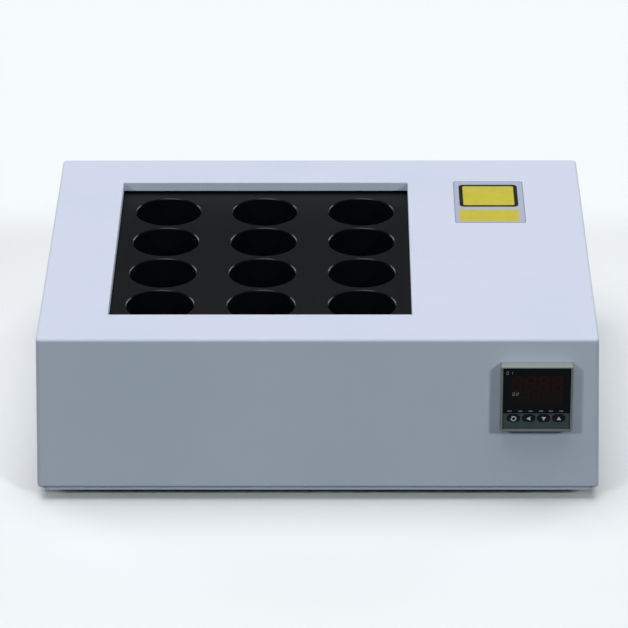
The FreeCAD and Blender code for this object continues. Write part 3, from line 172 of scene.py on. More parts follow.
class StudioSettings(bpy.types.PropertyGroup):
    """Floor, light and camera."""

    floor: colour_property("Floor", "Pale paper under the instrument", "F2F3F5")
    bounce: colour_property("Bounce", "Tone of the floor that lights the instrument", "34393B")
    room: colour_property("Room", "Light from all round", "34383C")
    cool: colour_property("Front light", "Tint of the lights in front", "EEFCFA")
    top_light: strength_property("Top light", "Strength of the soft light above", 2.16)
    left_light: strength_property("Left light", "Strength of the light in front, left", 0.68)
    right_light: strength_property("Right light", "Strength of the light in front, right", 0.9)
    back_light: strength_property("Back lights", "Strength of each light behind", 0.55)
    lens: FloatProperty(name="Lens", description="Focal length on a 36 mm sensor, in mm",
                        min=1.0, default=224.53)
    eye: FloatVectorProperty(name="Camera", description="Place of the camera", unit="LENGTH",
                             subtype="TRANSLATION", size=3, default=(0.01758, -2.44938, 1.27514))
    aim: FloatVectorProperty(name="Aim", description="Turn to the right, tilt down and roll",
                             unit="ROTATION", subtype="EULER", size=3,
                             default=tuple(math.radians(a) for a in (-0.488, 26.225, -0.228)))


GROUPS = {
    "hb_housing": HousingSettings,
    "hb_block": BlockSettings,
    "hb_controller": ControllerSettings,
    "hb_label": LabelSettings,
    "hb_inlet": InletSettings,
    "hb_studio": StudioSettings,
}


def settings(group):
    """Give a group of settings of the scene."""
    return getattr(bpy.context.scene, group)


def add_node(tree, kind, inputs=None, **choices):
    """Add a node, make its choices, and set or link its inputs by name or number."""
    made = tree.nodes.new(kind)
    for name, value in choices.items():
        setattr(made, name, value)
    for name, value in (inputs or {}).items():
        socket = made.inputs[name]
        if isinstance(value, bpy.types.NodeSocket):
            tree.links.new(value, socket)
        elif socket.type == "RGBA" and len(value) == 3:
            socket.default_value = (*value, 1.0)
        else:
            socket.default_value = value
    return made


def new_material(name):
    """Make a material that has no nodes yet."""
    material = bpy.data.materials.new(name)
    material.use_nodes = True
    material.node_tree.nodes.clear()
    return material


def per(millimetres):
    """Give the scale at which a pattern repeats about once in that many millimetres."""
    return 1 / (millimetres * MM)


def make_finish(name, colours, patch, roughness, grain, depth, lines=None, cells=None, upward=None,
                **shader):
    """Make a material whose colour drifts between two tones in patches of a size in mm.

    roughness is its lowest and highest value, and grain and depth are the size and height of
    its bumps in mm. lines is the pitch and height in mm of straight tool marks, and cells the
    size in mm of crystals. upward is the colour and roughness of the faces that look up, and
    the height in metres from which they have them. What is in shader goes to the shader's own
    sockets.
    """
    material = new_material(name)
    tree = material.node_tree
    coordinates = add_node(tree, "ShaderNodeTexCoord")
    place = coordinates.outputs["Object"]
    drift = add_node(tree, "ShaderNodeTexNoise",
                     {"Vector": place, "Scale": per(patch), "Detail": 3.0})
    share = drift.outputs["Fac"]
    if cells:
        crystal = add_node(tree, "ShaderNodeTexVoronoi", {"Vector": place, "Scale": per(cells)})
        channels = add_node(tree, "ShaderNodeSeparateColor", {"Color": crystal.outputs["Color"]})
        share = channels.outputs[0]
    sharper = add_node(tree, "ShaderNodeMapRange",
                       {"Value": share, "From Min": DRIFT_START, "From Max": DRIFT_END})
    first, second = colours
    tone = add_node(tree, "ShaderNodeMix", {0: sharper.outputs[0], 6: first, 7: second},
                    data_type="RGBA")
    gloss = add_node(tree, "ShaderNodeMapRange",
                     {"Value": sharper.outputs[0], "To Min": roughness[0], "To Max": roughness[1]})
    colour_out, gloss_out = tone.outputs[2], gloss.outputs[0]
    if upward:
        top_colour, top_roughness, least_height = upward
        facing = add_node(tree, "ShaderNodeSeparateXYZ", {"Vector": coordinates.outputs["Normal"]})
        level = add_node(tree, "ShaderNodeMapRange",
                         {"Value": facing.outputs["Z"], "From Min": UPWARD_START,
                          "From Max": UPWARD_END})
        height = add_node(tree, "ShaderNodeSeparateXYZ", {"Vector": place})
        high = add_node(tree, "ShaderNodeMath", {0: height.outputs["Z"], 1: least_height},
                        operation="GREATER_THAN")
        above = add_node(tree, "ShaderNodeMath", {0: level.outputs[0], 1: high.outputs[0]},
                         operation="MULTIPLY")
        tone = add_node(tree, "ShaderNodeMix", {0: above.outputs[0], 6: colour_out, 7: top_colour},
                        data_type="RGBA")
        gloss = add_node(tree, "ShaderNodeMix",
                         {0: above.outputs[0], 2: gloss_out, 3: top_roughness})
        colour_out, gloss_out = tone.outputs[2], gloss.outputs[0]
    fine = add_node(tree, "ShaderNodeTexNoise",
                    {"Vector": place, "Scale": per(grain), "Detail": 2.0})
    relief = add_node(tree, "ShaderNodeBump",
                      {"Height": fine.outputs["Fac"], "Distance": depth * MM, "Strength": 1.0})
    if lines:
        pitch, height = lines
        marks = add_node(tree, "ShaderNodeTexWave",
                         {"Vector": place, "Scale": math.tau * per(pitch) / WAVE_RADIANS,
                          "Distortion": 0.6, "Detail": 1.0}, bands_direction="Y")
        relief = add_node(tree, "ShaderNodeBump",
                          {"Height": marks.outputs["Fac"], "Distance": height * MM,
                           "Normal": relief.outputs["Normal"]})
    surface = {"Base Color": colour_out, "Roughness": gloss_out,
               "Normal": relief.outputs["Normal"]}
    surface.update(shader)
    done = add_node(tree, "ShaderNodeBsdfPrincipled", surface)
    add_node(tree, "ShaderNodeOutputMaterial", {"Surface": done.outputs[0]})
    return material


def plain_finish(name, colour, roughness, grain, depth, **shader):
    """Make a finish from one colour, with a slightly darker second tone."""
    darker = tuple(PLAIN_SHADE * channel for channel in colour)
    return make_finish(name, (colour, darker), PLAIN_PATCH, (roughness, roughness + PLAIN_SPREAD),
                       grain, depth, **shader)


def coat(material, *names):
    """Give CAD nodes a material in every slot."""
    for name in names:
        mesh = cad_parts[name].data
        if not mesh.materials:
            mesh.materials.append(material)
        for number in range(len(mesh.materials)):
            mesh.materials[number] = material


def add_piece(name, mesh, material, body):
    """Put a mesh in the scene as a piece that moves with a body."""
    piece = bpy.data.objects.new(name, mesh)
    bpy.context.scene.collection.objects.link(piece)
    mesh.materials.append(material)
    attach(piece, body)
    return piece


def finished(shape, name):
    """Turn a shape that is being built into a mesh."""
    mesh = bpy.data.meshes.new(name)
    shape.to_mesh(mesh)
    shape.free()
    return mesh


def extrude_outlines(name, outlines, height, matrix):
    """Make flat shapes of that height from outlines in the plane of matrix, along its Z."""
    shape = bmesh.new()
    for outline in outlines:
        low = [shape.verts.new((x, y, 0.0)) for x, y in outline]
        high = [shape.verts.new((x, y, height)) for x, y in outline]
        shape.faces.new(reversed(low))
        shape.faces.new(high)
        for number in range(len(outline)):
            after = (number + 1) % len(outline)
            shape.faces.new((low[number], low[after], high[after], high[number]))
    bmesh.ops.recalc_face_normals(shape, faces=shape.faces)
    shape.transform(matrix)
    return finished(shape, name)


def add_print(name, outlines, height, plane, material, body, slot):
    """Put flat marks of that height on a plane, as a piece that moves with a body."""
    add_piece(name, extrude_outlines(name, outlines, height, plane), material, body)


def circle(radius, steps):
    """Give the points of a circle round 0, 0."""
    angles = [2 * math.pi * step / steps for step in range(steps)]
    return [(radius * math.cos(a), radius * math.sin(a)) for a in angles]


def rounded_rectangle(width, height, radius, x=0.0, y=0.0, steps=6):
    """Give the outline of a rectangle with round corners round x, y."""
    outline = []
    for turn, (side, end) in enumerate(((1, 1), (-1, 1), (-1, -1), (1, -1))):
        corner_x, corner_y = x + side * (width / 2 - radius), y + end * (height / 2 - radius)
        for step in range(steps + 1):
            angle = math.pi / 2 * (turn + step / steps)
            outline.append((corner_x + radius * math.cos(angle),
                            corner_y + radius * math.sin(angle)))
    return outline


def ring_pieces(outer, inner):
    """Split the ring between two outlines with as many points into four-sided outlines."""
    pairs = zip(outer, outer[1:] + outer[:1], inner[1:] + inner[:1], inner)
    return [list(corners) for corners in pairs]


def front_plane(x, y, z):
    """Give the matrix of a plane that faces the front, with its own Y upwards."""
    return Matrix.Translation((x, y, z)) @ Matrix.Rotation(math.pi / 2, 4, "X")


def spot_on(name, start, toward):
    """Find where a ray meets a CAD node: a plane there, lying on its surface, with Y upwards."""
    met, place, normal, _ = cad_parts[name].ray_cast(start, toward)
    if not met:
        raise RuntimeError(f"no surface of {name} on the way from {start}")
    side = Vector((0, 0, 1)).cross(normal).normalized()
    axes = Matrix((side, normal.cross(side), normal)).transposed()
    return Matrix.Translation(place) @ axes.to_4x4()


def middle(name):
    """Give the middle of a CAD node's box."""
    low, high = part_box(name)
    return (low + high) / 2


def turned(profile, steps=32):
    """Turn a profile of (radius, height) points about Z into a closed mesh."""
    shape = bmesh.new()
    rings = []
    for radius, height in profile:
        points = circle(radius, steps) if radius else [(0, 0)]
        rings.append([shape.verts.new((x, y, height)) for x, y in points])
    for low, high in zip(rings, rings[1:]):
        for step in range(steps):
            after = (step + 1) % steps
            corners = [low[step % len(low)], low[after % len(low)], high[after % len(high)],
                       high[step % len(high)]]
            shape.faces.new(dict.fromkeys(corners))
    bmesh.ops.recalc_face_normals(shape, faces=shape.faces)
    return shape


def cut(body, tool):
    """Cut one mesh out of another and give the result."""
    pair = [bpy.data.objects.new("cut", mesh) for mesh in (body, tool)]
    for part in pair:
        bpy.context.scene.collection.objects.link(part)
    knife = pair[0].modifiers.new("knife", "BOOLEAN")
    knife.object = pair[1]
    knife.solver = "EXACT"
    bpy.context.view_layer.update()
    result = pair[0].evaluated_get(bpy.context.evaluated_depsgraph_get())
    done = bpy.data.meshes.new_from_object(result)
    for part in pair:
        bpy.data.objects.remove(part)
    return done


def pan_head_screw(radius, height, shank, reach):
    """Make a screw with a cross recess in its rounded head, which is seated at Z 0 and points up.

    radius and height are the head's, and shank and reach are the shank's radius and length.
    """
    profile = [(across * radius, up * height) for across, up in HEAD_OUTLINE]
    profile += [(shank, 0), (shank, -reach), (0, -reach)]
    screw = finished(turned(profile), "screw")
    arm, half = RECESS_REACH * radius, RECESS_HALF * radius
    cross = [(x * math.cos(a) - y * math.sin(a), x * math.sin(a) + y * math.cos(a))
             for a in (0, math.pi / 2, math.pi, -math.pi / 2)
             for x, y in ((half, half), (half, arm), (-half, arm))]
    floor = Matrix.Translation((0, 0, RECESS_FLOOR * height))
    return cut(screw, extrude_outlines("cross", [cross], height, floor))


def place_screws(name, node, seats, turn, screw):
    """Put a copy of a screw on every seat, in place of the CAD node."""
    merged = bmesh.new()
    for seat in seats:
        copy = screw.copy()
        copy.transform(Matrix.Translation(seat) @ turn)
        merged.from_mesh(copy)
        bpy.data.meshes.remove(copy)
    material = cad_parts[node].data.materials[0]
    piece = add_piece(name, finished(merged, name), material, HOUSING)
    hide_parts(node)


def segment_outlines(width, height, stroke, lit="abcdefg", lean=0.09):
    """Give the segments of a digit round its middle, leaning to the right."""
    gap = stroke * 0.16
    half, bar = stroke / 2, width / 2 - stroke / 2
    rise = height / 2 - stroke / 2
    level = {"a": rise, "g": 0.0, "d": -rise}
    upright = {"f": (-bar, rise / 2), "b": (bar, rise / 2),
               "e": (-bar, -rise / 2), "c": (bar, -rise / 2)}
    outlines = []
    for name in lit:
        if name in level:
            y, reach = level[name], bar - gap
            shape = [(-reach, y), (-reach + half, y - half), (reach - half, y - half), (reach, y),
                     (reach - half, y + half), (-reach + half, y + half)]
        else:
            x, y = upright[name]
            reach = rise / 2 - gap
            shape = [(x, y - reach), (x + half, y - reach + half), (x + half, y + reach - half),
                     (x, y + reach), (x - half, y + reach - half), (x - half, y - reach + half)]
        outlines.append([(x + lean * y, y) for x, y in shape])
    return outlines


def shifted(outlines, x, y):
    """Move outlines by x, y."""
    return [[(px + x, py + y) for px, py in outline] for outline in outlines]


class FinishHousing(bpy.types.Operator):
    """Powder coat the cover and the base plate, and finish the feet"""

    bl_idname = "heating_block.finish_housing"
    bl_label = "Finish the housing"

    def execute(self, context):
        look = settings("hb_housing")
        peel, depth = look.peel / MM, look.peel_depth / MM
        # Polyester powder coat, sprayed and cured: an even satin skin with a faint peel that
        # breaks up reflections. Its real waves are about 1 mm wide and are drawn wider to show.
        powder = make_finish("polyester_powder_coat_cured", (look.coat, look.coat_shade), 90.0,
                             (0.52, 0.58), peel, depth, IOR=1.5, **{"Specular IOR Level": 0.2})
        coat(powder, "top_cover", "base_plate")
        # Moulded rubber: dull black with a bloom, so it takes no highlight.
        rubber = plain_finish("nitrile_rubber_moulded", look.rubber, 0.75, 0.8, 0.02)
        for end in ("front", "back"):
            coat(rubber, f"foot_{end}_left", f"foot_{end}_right")
        return {"FINISHED"}


class FinishFasteners(bpy.types.Operator):
    """Give the screws, nuts, pillars and spacers their plating"""

    bl_idname = "heating_block.finish_fasteners"
    bl_label = "Finish the fasteners"

    def execute(self, context):
        look = settings("hb_housing")
        # Zinc plated steel, barrel plated and passivated: a grey shine with soft blotches.
        shade = tuple(0.8 * channel for channel in look.zinc)
        zinc = make_finish("steel_zinc_plated", (look.zinc, shade), 2.5, (0.28, 0.42), 0.5, 0.002,
                           Metallic=1.0)
        coat(zinc, "foot_screws", "foot_nuts", "pillar_screws", "pillar_nuts", "cover_screws",
             "inlet_screws", "block_bolts", "block_spacers", "case_pillars", "earth_stud")
        return {"FINISHED"}


class MakeScrewHeads(bpy.types.Operator):
    """Give the screws that can be seen rounded heads with a cross recess"""

    bl_idname = "heating_block.make_screw_heads"
    bl_label = "Make the screw heads"

    def execute(self, context):
        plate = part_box("base_plate")[0].z
        groups = (("cover_pan_head_screws", "cover_screws", 3, plate, SMALL_SCREW),
                  ("pillar_pan_head_screws", "pillar_screws", 2, plate, LARGE_SCREW),
                  ("foot_pan_head_screws", "foot_screws", 2, plate - FOOT_SEAT * MM, LARGE_SCREW))
        down = Matrix.Rotation(math.pi, 4, "X")
        for name, node, columns, seat, (head, shank) in groups:
            low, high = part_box(node)
            radius = head * MM / 2
            screw = pan_head_screw(radius, seat - low.z, shank * MM / 2, high.z - seat)
            first, last = low.x + radius, high.x - radius
            seats = [(first + (last - first) * number / (columns - 1), y, seat)
                     for number in range(columns) for y in (low.y + radius, high.y - radius)]
            place_screws(name, node, seats, down, screw)
        low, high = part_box("inlet_screws")
        seat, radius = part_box("inlet_housing")[1].y, (high.z - low.z) / 2
        shank = SMALL_SCREW[1] * MM / 2
        screw = pan_head_screw(radius, high.y - seat, shank, seat - low.y)
        seats = [(x, seat, (low.z + high.z) / 2) for x in (low.x + radius, high.x - radius)]
        back = Matrix.Rotation(-math.pi / 2, 4, "X") @ Matrix.Rotation(INLET_TURN, 4, "Z")
        place_screws("inlet_pan_head_screws", "inlet_screws", seats, back, screw)
        return {"FINISHED"}


class FinishBlock(bpy.types.Operator):
    """Anodise the heating block and its heater plate"""

    bl_idname = "heating_block.finish_block"
    bl_label = "Finish the heating block"

    def execute(self, context):
        look = settings("hb_block")
        # Milled aluminium, hard anodised black: nearly no colour, a dull sheen at low angles,
        # and the mill's feed marks, which are drawn wider than real ones so that they show.
        # The reamed bores and their turned edges are brighter cuts, and so glossier.
        oxide = make_finish("aluminium_hard_anodised_black", (look.oxide, look.oxide_shade), 40.0,
                            (0.17, 0.21), 0.7, 0.002,
                            lines=(look.feed / MM, look.feed_depth / MM),
                            upward=(look.oxide_top, 0.48, 0.0), **{"Specular IOR Level": 0.3})
        coat(oxide, "heating_block", "heater_plate")
        return {"FINISHED"}


class FinishInside(bpy.types.Operator):
    """Finish what lies inside the housing"""

    bl_idname = "heating_block.finish_inside"
    bl_label = "Finish the inside"

    def execute(self, context):
        # Ground stainless steel tube: clean metal with fine marks along the heater.
        sheath = plain_finish("stainless_steel_ground", linear("B4B2AE"), 0.3, 0.3, 0.002,
                              Metallic=1.0)
        coat(sheath, "cartridge_heater_1", "cartridge_heater_2", "cartridge_heater_3",
             "cartridge_heater_4", "block_sensor", "overheat_cutout")
        # Needled ceramic fibre: a chalky white felt with loose tufts.
        felt = make_finish("ceramic_fibre_needled", (linear("E6E3D8"), linear("D2CDBE")), 12.0,
                           (0.9, 0.97), 1.6, 0.5)
        coat(felt, "wrap_insulation")
        # Pressed calcium silicate board: matt and gritty.
        board = make_finish("calcium_silicate_pressed", (linear("D8D2C2"), linear("C8C1AE")), 6.0,
                            (0.85, 0.93), 0.9, 0.08)
        coat(board, "base_insulation")
        # Hot-dip galvanised sheet: grey spangles a few millimetres across.
        spangle = make_finish("steel_galvanised_spangled", (linear("B9BDC0"), linear("9EA3A7")),
                              9.0, (0.34, 0.5), 1.2, 0.002, cells=7.0, Metallic=1.0)
        coat(spangle, "inner_case", "bay_shield")
        # Extruded aluminium, clear anodised: pale satin metal with die lines along its fins.
        fins = make_finish("aluminium_extruded_clear_anodised",
                           (linear("C9CBCE"), linear("BDBFC3")), 14.0, (0.32, 0.42), 0.8, 0.002,
                           lines=(7.54, 0.003), Metallic=1.0)
        coat(fins, "relay_heatsink")
        # Glass-filled nylon, moulded black: dull with a faint fibre bloom.
        nylon = plain_finish("nylon_glass_filled_moulded", linear("222326"), 0.55, 0.5, 0.01)
        coat(nylon, "solid_state_relay", "terminal_strip", "controller_terminals",
             "controller_clamp", "display_module")
        # Grey ABS, injection moulded: even and matt.
        case = plain_finish("abs_moulded_grey", linear("54585A"), 0.5, 0.6, 0.01)
        coat(case, "controller_housing")
        # Glass epoxy board under green solder mask: shiny, with the weave just showing through.
        mask = make_finish("glass_epoxy_solder_masked", (linear("1E5A37"), linear("174A2D")), 1.0,
                           (0.25, 0.35), 0.6, 0.01)
        coat(mask, "controller_circuit")
        return {"FINISHED"}


class FinishController(bpy.types.Operator):
    """Finish the bezel, the window, the key band and the keys"""

    bl_idname = "heating_block.finish_controller"
    bl_label = "Finish the controller"

    def execute(self, context):
        look = settings("hb_controller")
        # ABS, injection moulded against a spark-eroded tool: satin grey with a very fine grain,
        # and its upward faces above the middle painted paler, a painted highlight from above.
        bezel = plain_finish("abs_moulded_spark_grain", look.bezel, 0.36, 0.5, 0.004,
                             upward=(look.bezel_lit_top, 0.42, middle("controller_bezel").z),
                             **{"Specular IOR Level": 0.3})
        coat(bezel, "controller_bezel")
        # Smoked acrylic, polished: deep and dark, with a clear but weak reflection.
        smoked = plain_finish("acrylic_smoked_polished", look.glass, 0.08, 4.0, 0.001,
                              **{"Specular IOR Level": 0.05})
        coat(smoked, "controller_window")
        # Polyester film, screen printed from behind: flat dark grey with a satin face.
        film = plain_finish("polyester_film_screen_printed", look.band, 0.4, 0.4, 0.003,
                            **{"Specular IOR Level": 0.2})
        coat(film, "controller_fascia")
        # Silicone rubber, moulded: blue-black and soft, with a dull edge light.
        silicone = plain_finish("silicone_rubber_moulded", look.key, 0.5, 0.5, 0.005,
                                **{"Specular IOR Level": 0.1})
        coat(silicone, "key_set", "key_shift", "key_down", "key_up")
        return {"FINISHED"}


class PrintController(bpy.types.Operator):
    """Draw the unlit digits and the small marks of the controller's window"""

    bl_idname = "heating_block.print_controller"
    bl_label = "Print the controller's window"

    def execute(self, context):
        look = settings("hb_controller")
        centre = middle("controller_bezel")
        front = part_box("controller_window")[0].y
        plane = front_plane(centre.x, front, centre.z)
        on_window = (HOUSING, "controller_window")
        # Epoxy cast over the unlit display: a brown that is only just lighter than the window.
        cast = plain_finish("epoxy_cast_smoked", look.display, 0.12, 4.0, 0.001,
                            **{"Specular IOR Level": 0.05})
        face = [rounded_rectangle(35.5 * MM, 21.6 * MM, 0.6 * MM, -0.2 * MM, 6.2 * MM)]
        add_print("display_face", face, look.print_height / 3, plane, cast, *on_window)
        # Each row: its height over the middle, the height, width, stroke and pitch of its four
        # digits, and where the first one stands, in mm.
        rows = (("upper_digits", look.upper_digit, 11.2, 11.4, 7.0, 1.5, 8.9, -13.2),
                ("lower_digits", look.lower_digit, 1.2, 8.4, 5.4, 1.2, 7.0, -7.2))
        for name, colour, level, height, width, stroke, pitch, start in rows:
            digit = segment_outlines(width * MM, height * MM, stroke * MM)
            outlines = []
            for number in range(4):
                outlines += shifted(digit, (start + number * pitch) * MM, level * MM)
            # Light-emitting segments that are switched off: dark, with a hint of their colour.
            unlit = plain_finish(f"epoxy_cast_unlit_{name}", colour, 0.2, 1.0, 0.001,
                                 **{"Specular IOR Level": 0.05})
            add_print(name, outlines, look.print_height / 2, plane, unlit, *on_window)
        # White screen-print ink: thin and matt, greyed by the dark film under it.
        ink = plain_finish("ink_screen_printed_thin", look.small_ink, 0.6, 0.3, 0.002)
        # The number of each row, 01 and 02, as the segments of its digits.
        nought, one, two = "abcdef", "bc", "abged"
        width, height, stroke, pitch = 1.7, 2.4, 0.36, 2.5
        marks = []
        for x, z, digits in ((-19.4, 19.2, (nought, one)), (-15.2, 3.6, (nought, two))):
            for number, lit in enumerate(digits):
                digit = segment_outlines(width * MM, height * MM, stroke * MM, lit)
                marks += shifted(digit, (x + pitch * number) * MM, z * MM)
        add_print("row_marks", marks, look.print_height, plane, ink, *on_window)
        # Three small blocks for each lamp, in a row under the digits.
        width, height, radius, pitch, level = 0.72, 0.9, 0.15, 0.95, -9.0
        blocks = []
        for x in (-17.7, -10.7, -3.8, 3.1, 9.6, 16.5):
            for step in (-1, 0, 1):
                blocks.append(rounded_rectangle(width * MM, height * MM, radius * MM,
                                                (x + pitch * step) * MM, level * MM, steps=2))
        add_print("lamp_marks", blocks, look.print_height, plane, ink, *on_window)
        return {"FINISHED"}


class PrintKeys(bpy.types.Operator):
    """Draw the symbol on each key, which moves with its key"""

    bl_idname = "heating_block.print_keys"
    bl_label = "Print the keys"

    def execute(self, context):
        look = settings("hb_controller")
        # White screen-print ink on rubber: matt, with soft edges.
        ink = plain_finish("ink_printed_on_rubber", look.ink, 0.65, 0.3, 0.002)
        reach, drop = 1.45 * MM, 0.75
        arrow = [(0.0, reach), (-reach, -reach * drop), (reach, -reach * drop)]
        # A round arrow: a ring with a gap, and a head at the end that is at the angle tip.
        steps, gap, outer, inner = 24, 4, 1.85 * MM, 1.2 * MM
        barb, point, tip = 0.45 * MM, 1.1 * MM, math.radians(110)
        ring = []
        for number in range(steps - gap):
            start, end = (tip - 2 * math.pi * (number + more) / steps for more in (0, 1))
            ring.append([(radius * math.cos(a), radius * math.sin(a))
                         for radius, a in ((outer, start), (outer, end),
                                           (inner, end), (inner, start))])
        along = Vector((math.cos(tip), math.sin(tip)))
        head = [along * (inner - barb), along * (outer + barb),
                along * (inner + outer) / 2 + Vector((-along.y, along.x)) * point]
        symbols = {"key_set": ring + [[tuple(corner) for corner in head]], "key_up": [arrow],
                   "key_down": [[(x, -y) for x, y in reversed(arrow)]],
                   "key_shift": [[(-y, x) for x, y in arrow]]}
        for key, outlines in symbols.items():
            centre, front = middle(key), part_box(key)[0].y
            plane = front_plane(centre.x, front, centre.z)
            add_print(f"symbol_of_{key}", outlines, look.print_height, plane, ink, key,
                      "key_rubber")
        return {"FINISHED"}


class PrintLabel(bpy.types.Operator):
    """Finish the film label and print its plain fields"""

    bl_idname = "heating_block.print_label"
    bl_label = "Print the label"

    def execute(self, context):
        look = settings("hb_label")
        low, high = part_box("top_label")
        # Clear polyester film on grey adhesive: a shade darker than the paint and glossier.
        shade = tuple(0.97 * channel for channel in look.film)
        film = make_finish("polyester_film_on_adhesive", (look.film, shade), 25.0, (0.2, 0.26),
                           6.0, 0.004)
        coat(film, "top_label")
        thick, on_film = LABEL_INK * MM, (HOUSING, "label_film")
        plane = Matrix.Translation(((low.x + high.x) / 2, (low.y + high.y) / 2, high.z))
        width, depth, rim = high.x - low.x, high.y - low.y, 1.1 * MM
        # Cut edge of the film: a darker line along it, painted shade for the step's shadow.
        edge = plain_finish("polyester_film_edge_shade", look.film_edge_shade, 0.5, 0.5, 0.003)
        outer = rounded_rectangle(width, depth, 1.5 * MM)
        inner = rounded_rectangle(width - rim, depth - rim, 1.0 * MM)
        add_print("label_edge_shade", ring_pieces(outer, inner), thick, plane, edge, *on_film)
        # Screen-printed inks: opaque, satin and dead flat.
        yellow = plain_finish("ink_screen_printed_yellow", look.yellow, 0.38, 0.4, 0.002)
        black = plain_finish("ink_screen_printed_black", look.border, 0.4, 0.4, 0.002)
        outer = rounded_rectangle(41.5 * MM, 37.6 * MM, 3.2 * MM, -0.25 * MM, 10.4 * MM)
        inner = rounded_rectangle(36.1 * MM, 32.2 * MM, 1.6 * MM, -0.25 * MM, 10.4 * MM)
        add_print("label_border", ring_pieces(outer, inner), thick, plane, black, *on_film)
        strip = rounded_rectangle(41.7 * MM, 19.3 * MM, 0.8 * MM, -0.55 * MM, -22.75 * MM)
        add_print("label_fields", [inner, strip], thick, plane, yellow, *on_film)
        return {"FINISHED"}


class FinishInlet(bpy.types.Operator):
    """Finish the mains inlet, its rocker switch and its fuse drawer"""

    bl_idname = "heating_block.finish_inlet"
    bl_label = "Finish the mains inlet"

    def execute(self, context):
        look = settings("hb_inlet")
        # Flame-retardant nylon, injection moulded: black with a fine eroded grain.
        moulding = plain_finish("nylon_moulded_eroded_grain", look.housing, 0.45, 0.6, 0.01)
        coat(moulding, "inlet_housing", "fuse_drawer")
        # Polished nylon rocker: shiny enough to show where the finger presses.
        shiny = plain_finish("nylon_moulded_polished", look.rocker, 0.18, 2.0, 0.001)
        coat(shiny, "rocker")
        # Brass stampings, nickel plated: warm bright metal.
        plated = plain_finish("brass_nickel_plated", look.nickel, 0.22, 0.6, 0.001, Metallic=1.0)
        coat(plated, "inlet_blades")
        # Glass tube fuse: clear and bright.
        glass = plain_finish("glass_drawn_tube", linear("DDE3E2"), 0.06, 3.0, 0.001)
        coat(glass, "fuse")
        # Plated caps, pressed over the ends of the tube, with a rounded rim.
        low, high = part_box("fuse")
        skin, rim, reach = 0.02 * MM, 0.3 * MM, 5.5 * MM
        radius = (high.z - low.z) / 2 + skin
        profile = ((0, -skin), (0.9 * radius, -skin), (radius, rim), (radius, reach),
                   (0.93 * radius, reach), (0, reach))
        caps = bmesh.new()
        for end, turn in ((low.x, math.pi / 2), (high.x, -math.pi / 2)):
            cap = turned(profile)
            place = Matrix.Translation((end, (low.y + high.y) / 2, (low.z + high.z) / 2))
            cap.transform(place @ Matrix.Rotation(turn, 4, "Y"))
            caps.from_mesh(finished(cap, "cap"))
        add_piece("fuse_caps", finished(caps, "fuse_caps"), plated, "fuse_drawer")
        return {"FINISHED"}


class MarkRocker(bpy.types.Operator):
    """Put the marks for on and off on the rocker"""

    bl_idname = "heating_block.mark_rocker"
    bl_label = "Mark the rocker"

    def execute(self, context):
        look = settings("hb_inlet")
        # White nylon, moulded into the rocker's face: matt and level with it.
        white = plain_finish("nylon_moulded_white", look.mark, 0.5, 0.5, 0.004)
        # The marks stand to both sides of the middle, and are laid on the rocker's face from
        # well behind it.
        apart, behind = 4.8 * MM, 50 * MM
        centre, start = middle("inlet_housing").x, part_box("inlet_housing")[1].y + behind
        level, forwards = middle("rocker").z, Vector((0, -1, 0))
        ring = ring_pieces(circle(2.2 * MM, 32), circle(1.5 * MM, 32))
        bar = [rounded_rectangle(0.8 * MM, 4.4 * MM, 0.2 * MM)]
        for name, side, outlines in (("rocker_off_mark", 1, ring), ("rocker_on_mark", -1, bar)):
            plane = spot_on("rocker", Vector((centre + side * apart, start, level)), forwards)
            add_print(name, outlines, ROCKER_MARK * MM, plane, white, "rocker", "rocker_plastic")
        return {"FINISHED"}


def add_paper(name, points, faces, material):
    """Put a sheet of background paper in the scene."""
    mesh = bpy.data.meshes.new(name)
    mesh.from_pydata(points, [], faces)
    mesh.materials.append(material)
    sheet = bpy.data.objects.new(name, mesh)
    bpy.context.scene.collection.objects.link(sheet)
    return sheet


def pale_paper(look):
    """Make matt paper: pale where it is seen, and a mid grey where it only throws light."""
    paper = new_material("paper_matt_pale")
    tree = paper.node_tree
    ray = add_node(tree, "ShaderNodeLightPath")
    seen = ray.outputs["Is Camera Ray"]
    for kind in ("Is Glossy Ray", "Is Transmission Ray"):
        seen = add_node(tree, "ShaderNodeMath", {0: seen, 1: ray.outputs[kind]},
                        operation="MAXIMUM").outputs[0]
    tone = add_node(tree, "ShaderNodeMix", {0: seen, 6: look.bounce, 7: look.floor},
                    data_type="RGBA")
    matt = add_node(tree, "ShaderNodeBsdfDiffuse", {"Color": tone.outputs[2]})
    add_node(tree, "ShaderNodeOutputMaterial", {"Surface": matt.outputs[0]})
    return paper


def lit_paper(look):
    """Make paper of one even tone, as if it were lit from all sides."""
    paper = new_material("paper_matt_lit")
    glow = add_node(paper.node_tree, "ShaderNodeEmission", {"Color": look.floor, "Strength": 1.0})
    add_node(paper.node_tree, "ShaderNodeOutputMaterial", {"Surface": glow.outputs[0]})
    return paper


def aimed(turn, down, roll):
    """Give the axes of a camera that looks along Y and is then turned right, tilted and rolled."""
    ahead = Vector((math.sin(turn) * math.cos(down), math.cos(turn) * math.cos(down),
                    -math.sin(down)))
    right = Vector((math.cos(turn), -math.sin(turn), 0.0))
    above = right.cross(ahead)
    side = right * math.cos(roll) + above * math.sin(roll)
    up = above * math.cos(roll) - right * math.sin(roll)
    return Matrix((side, up, -ahead)).transposed()


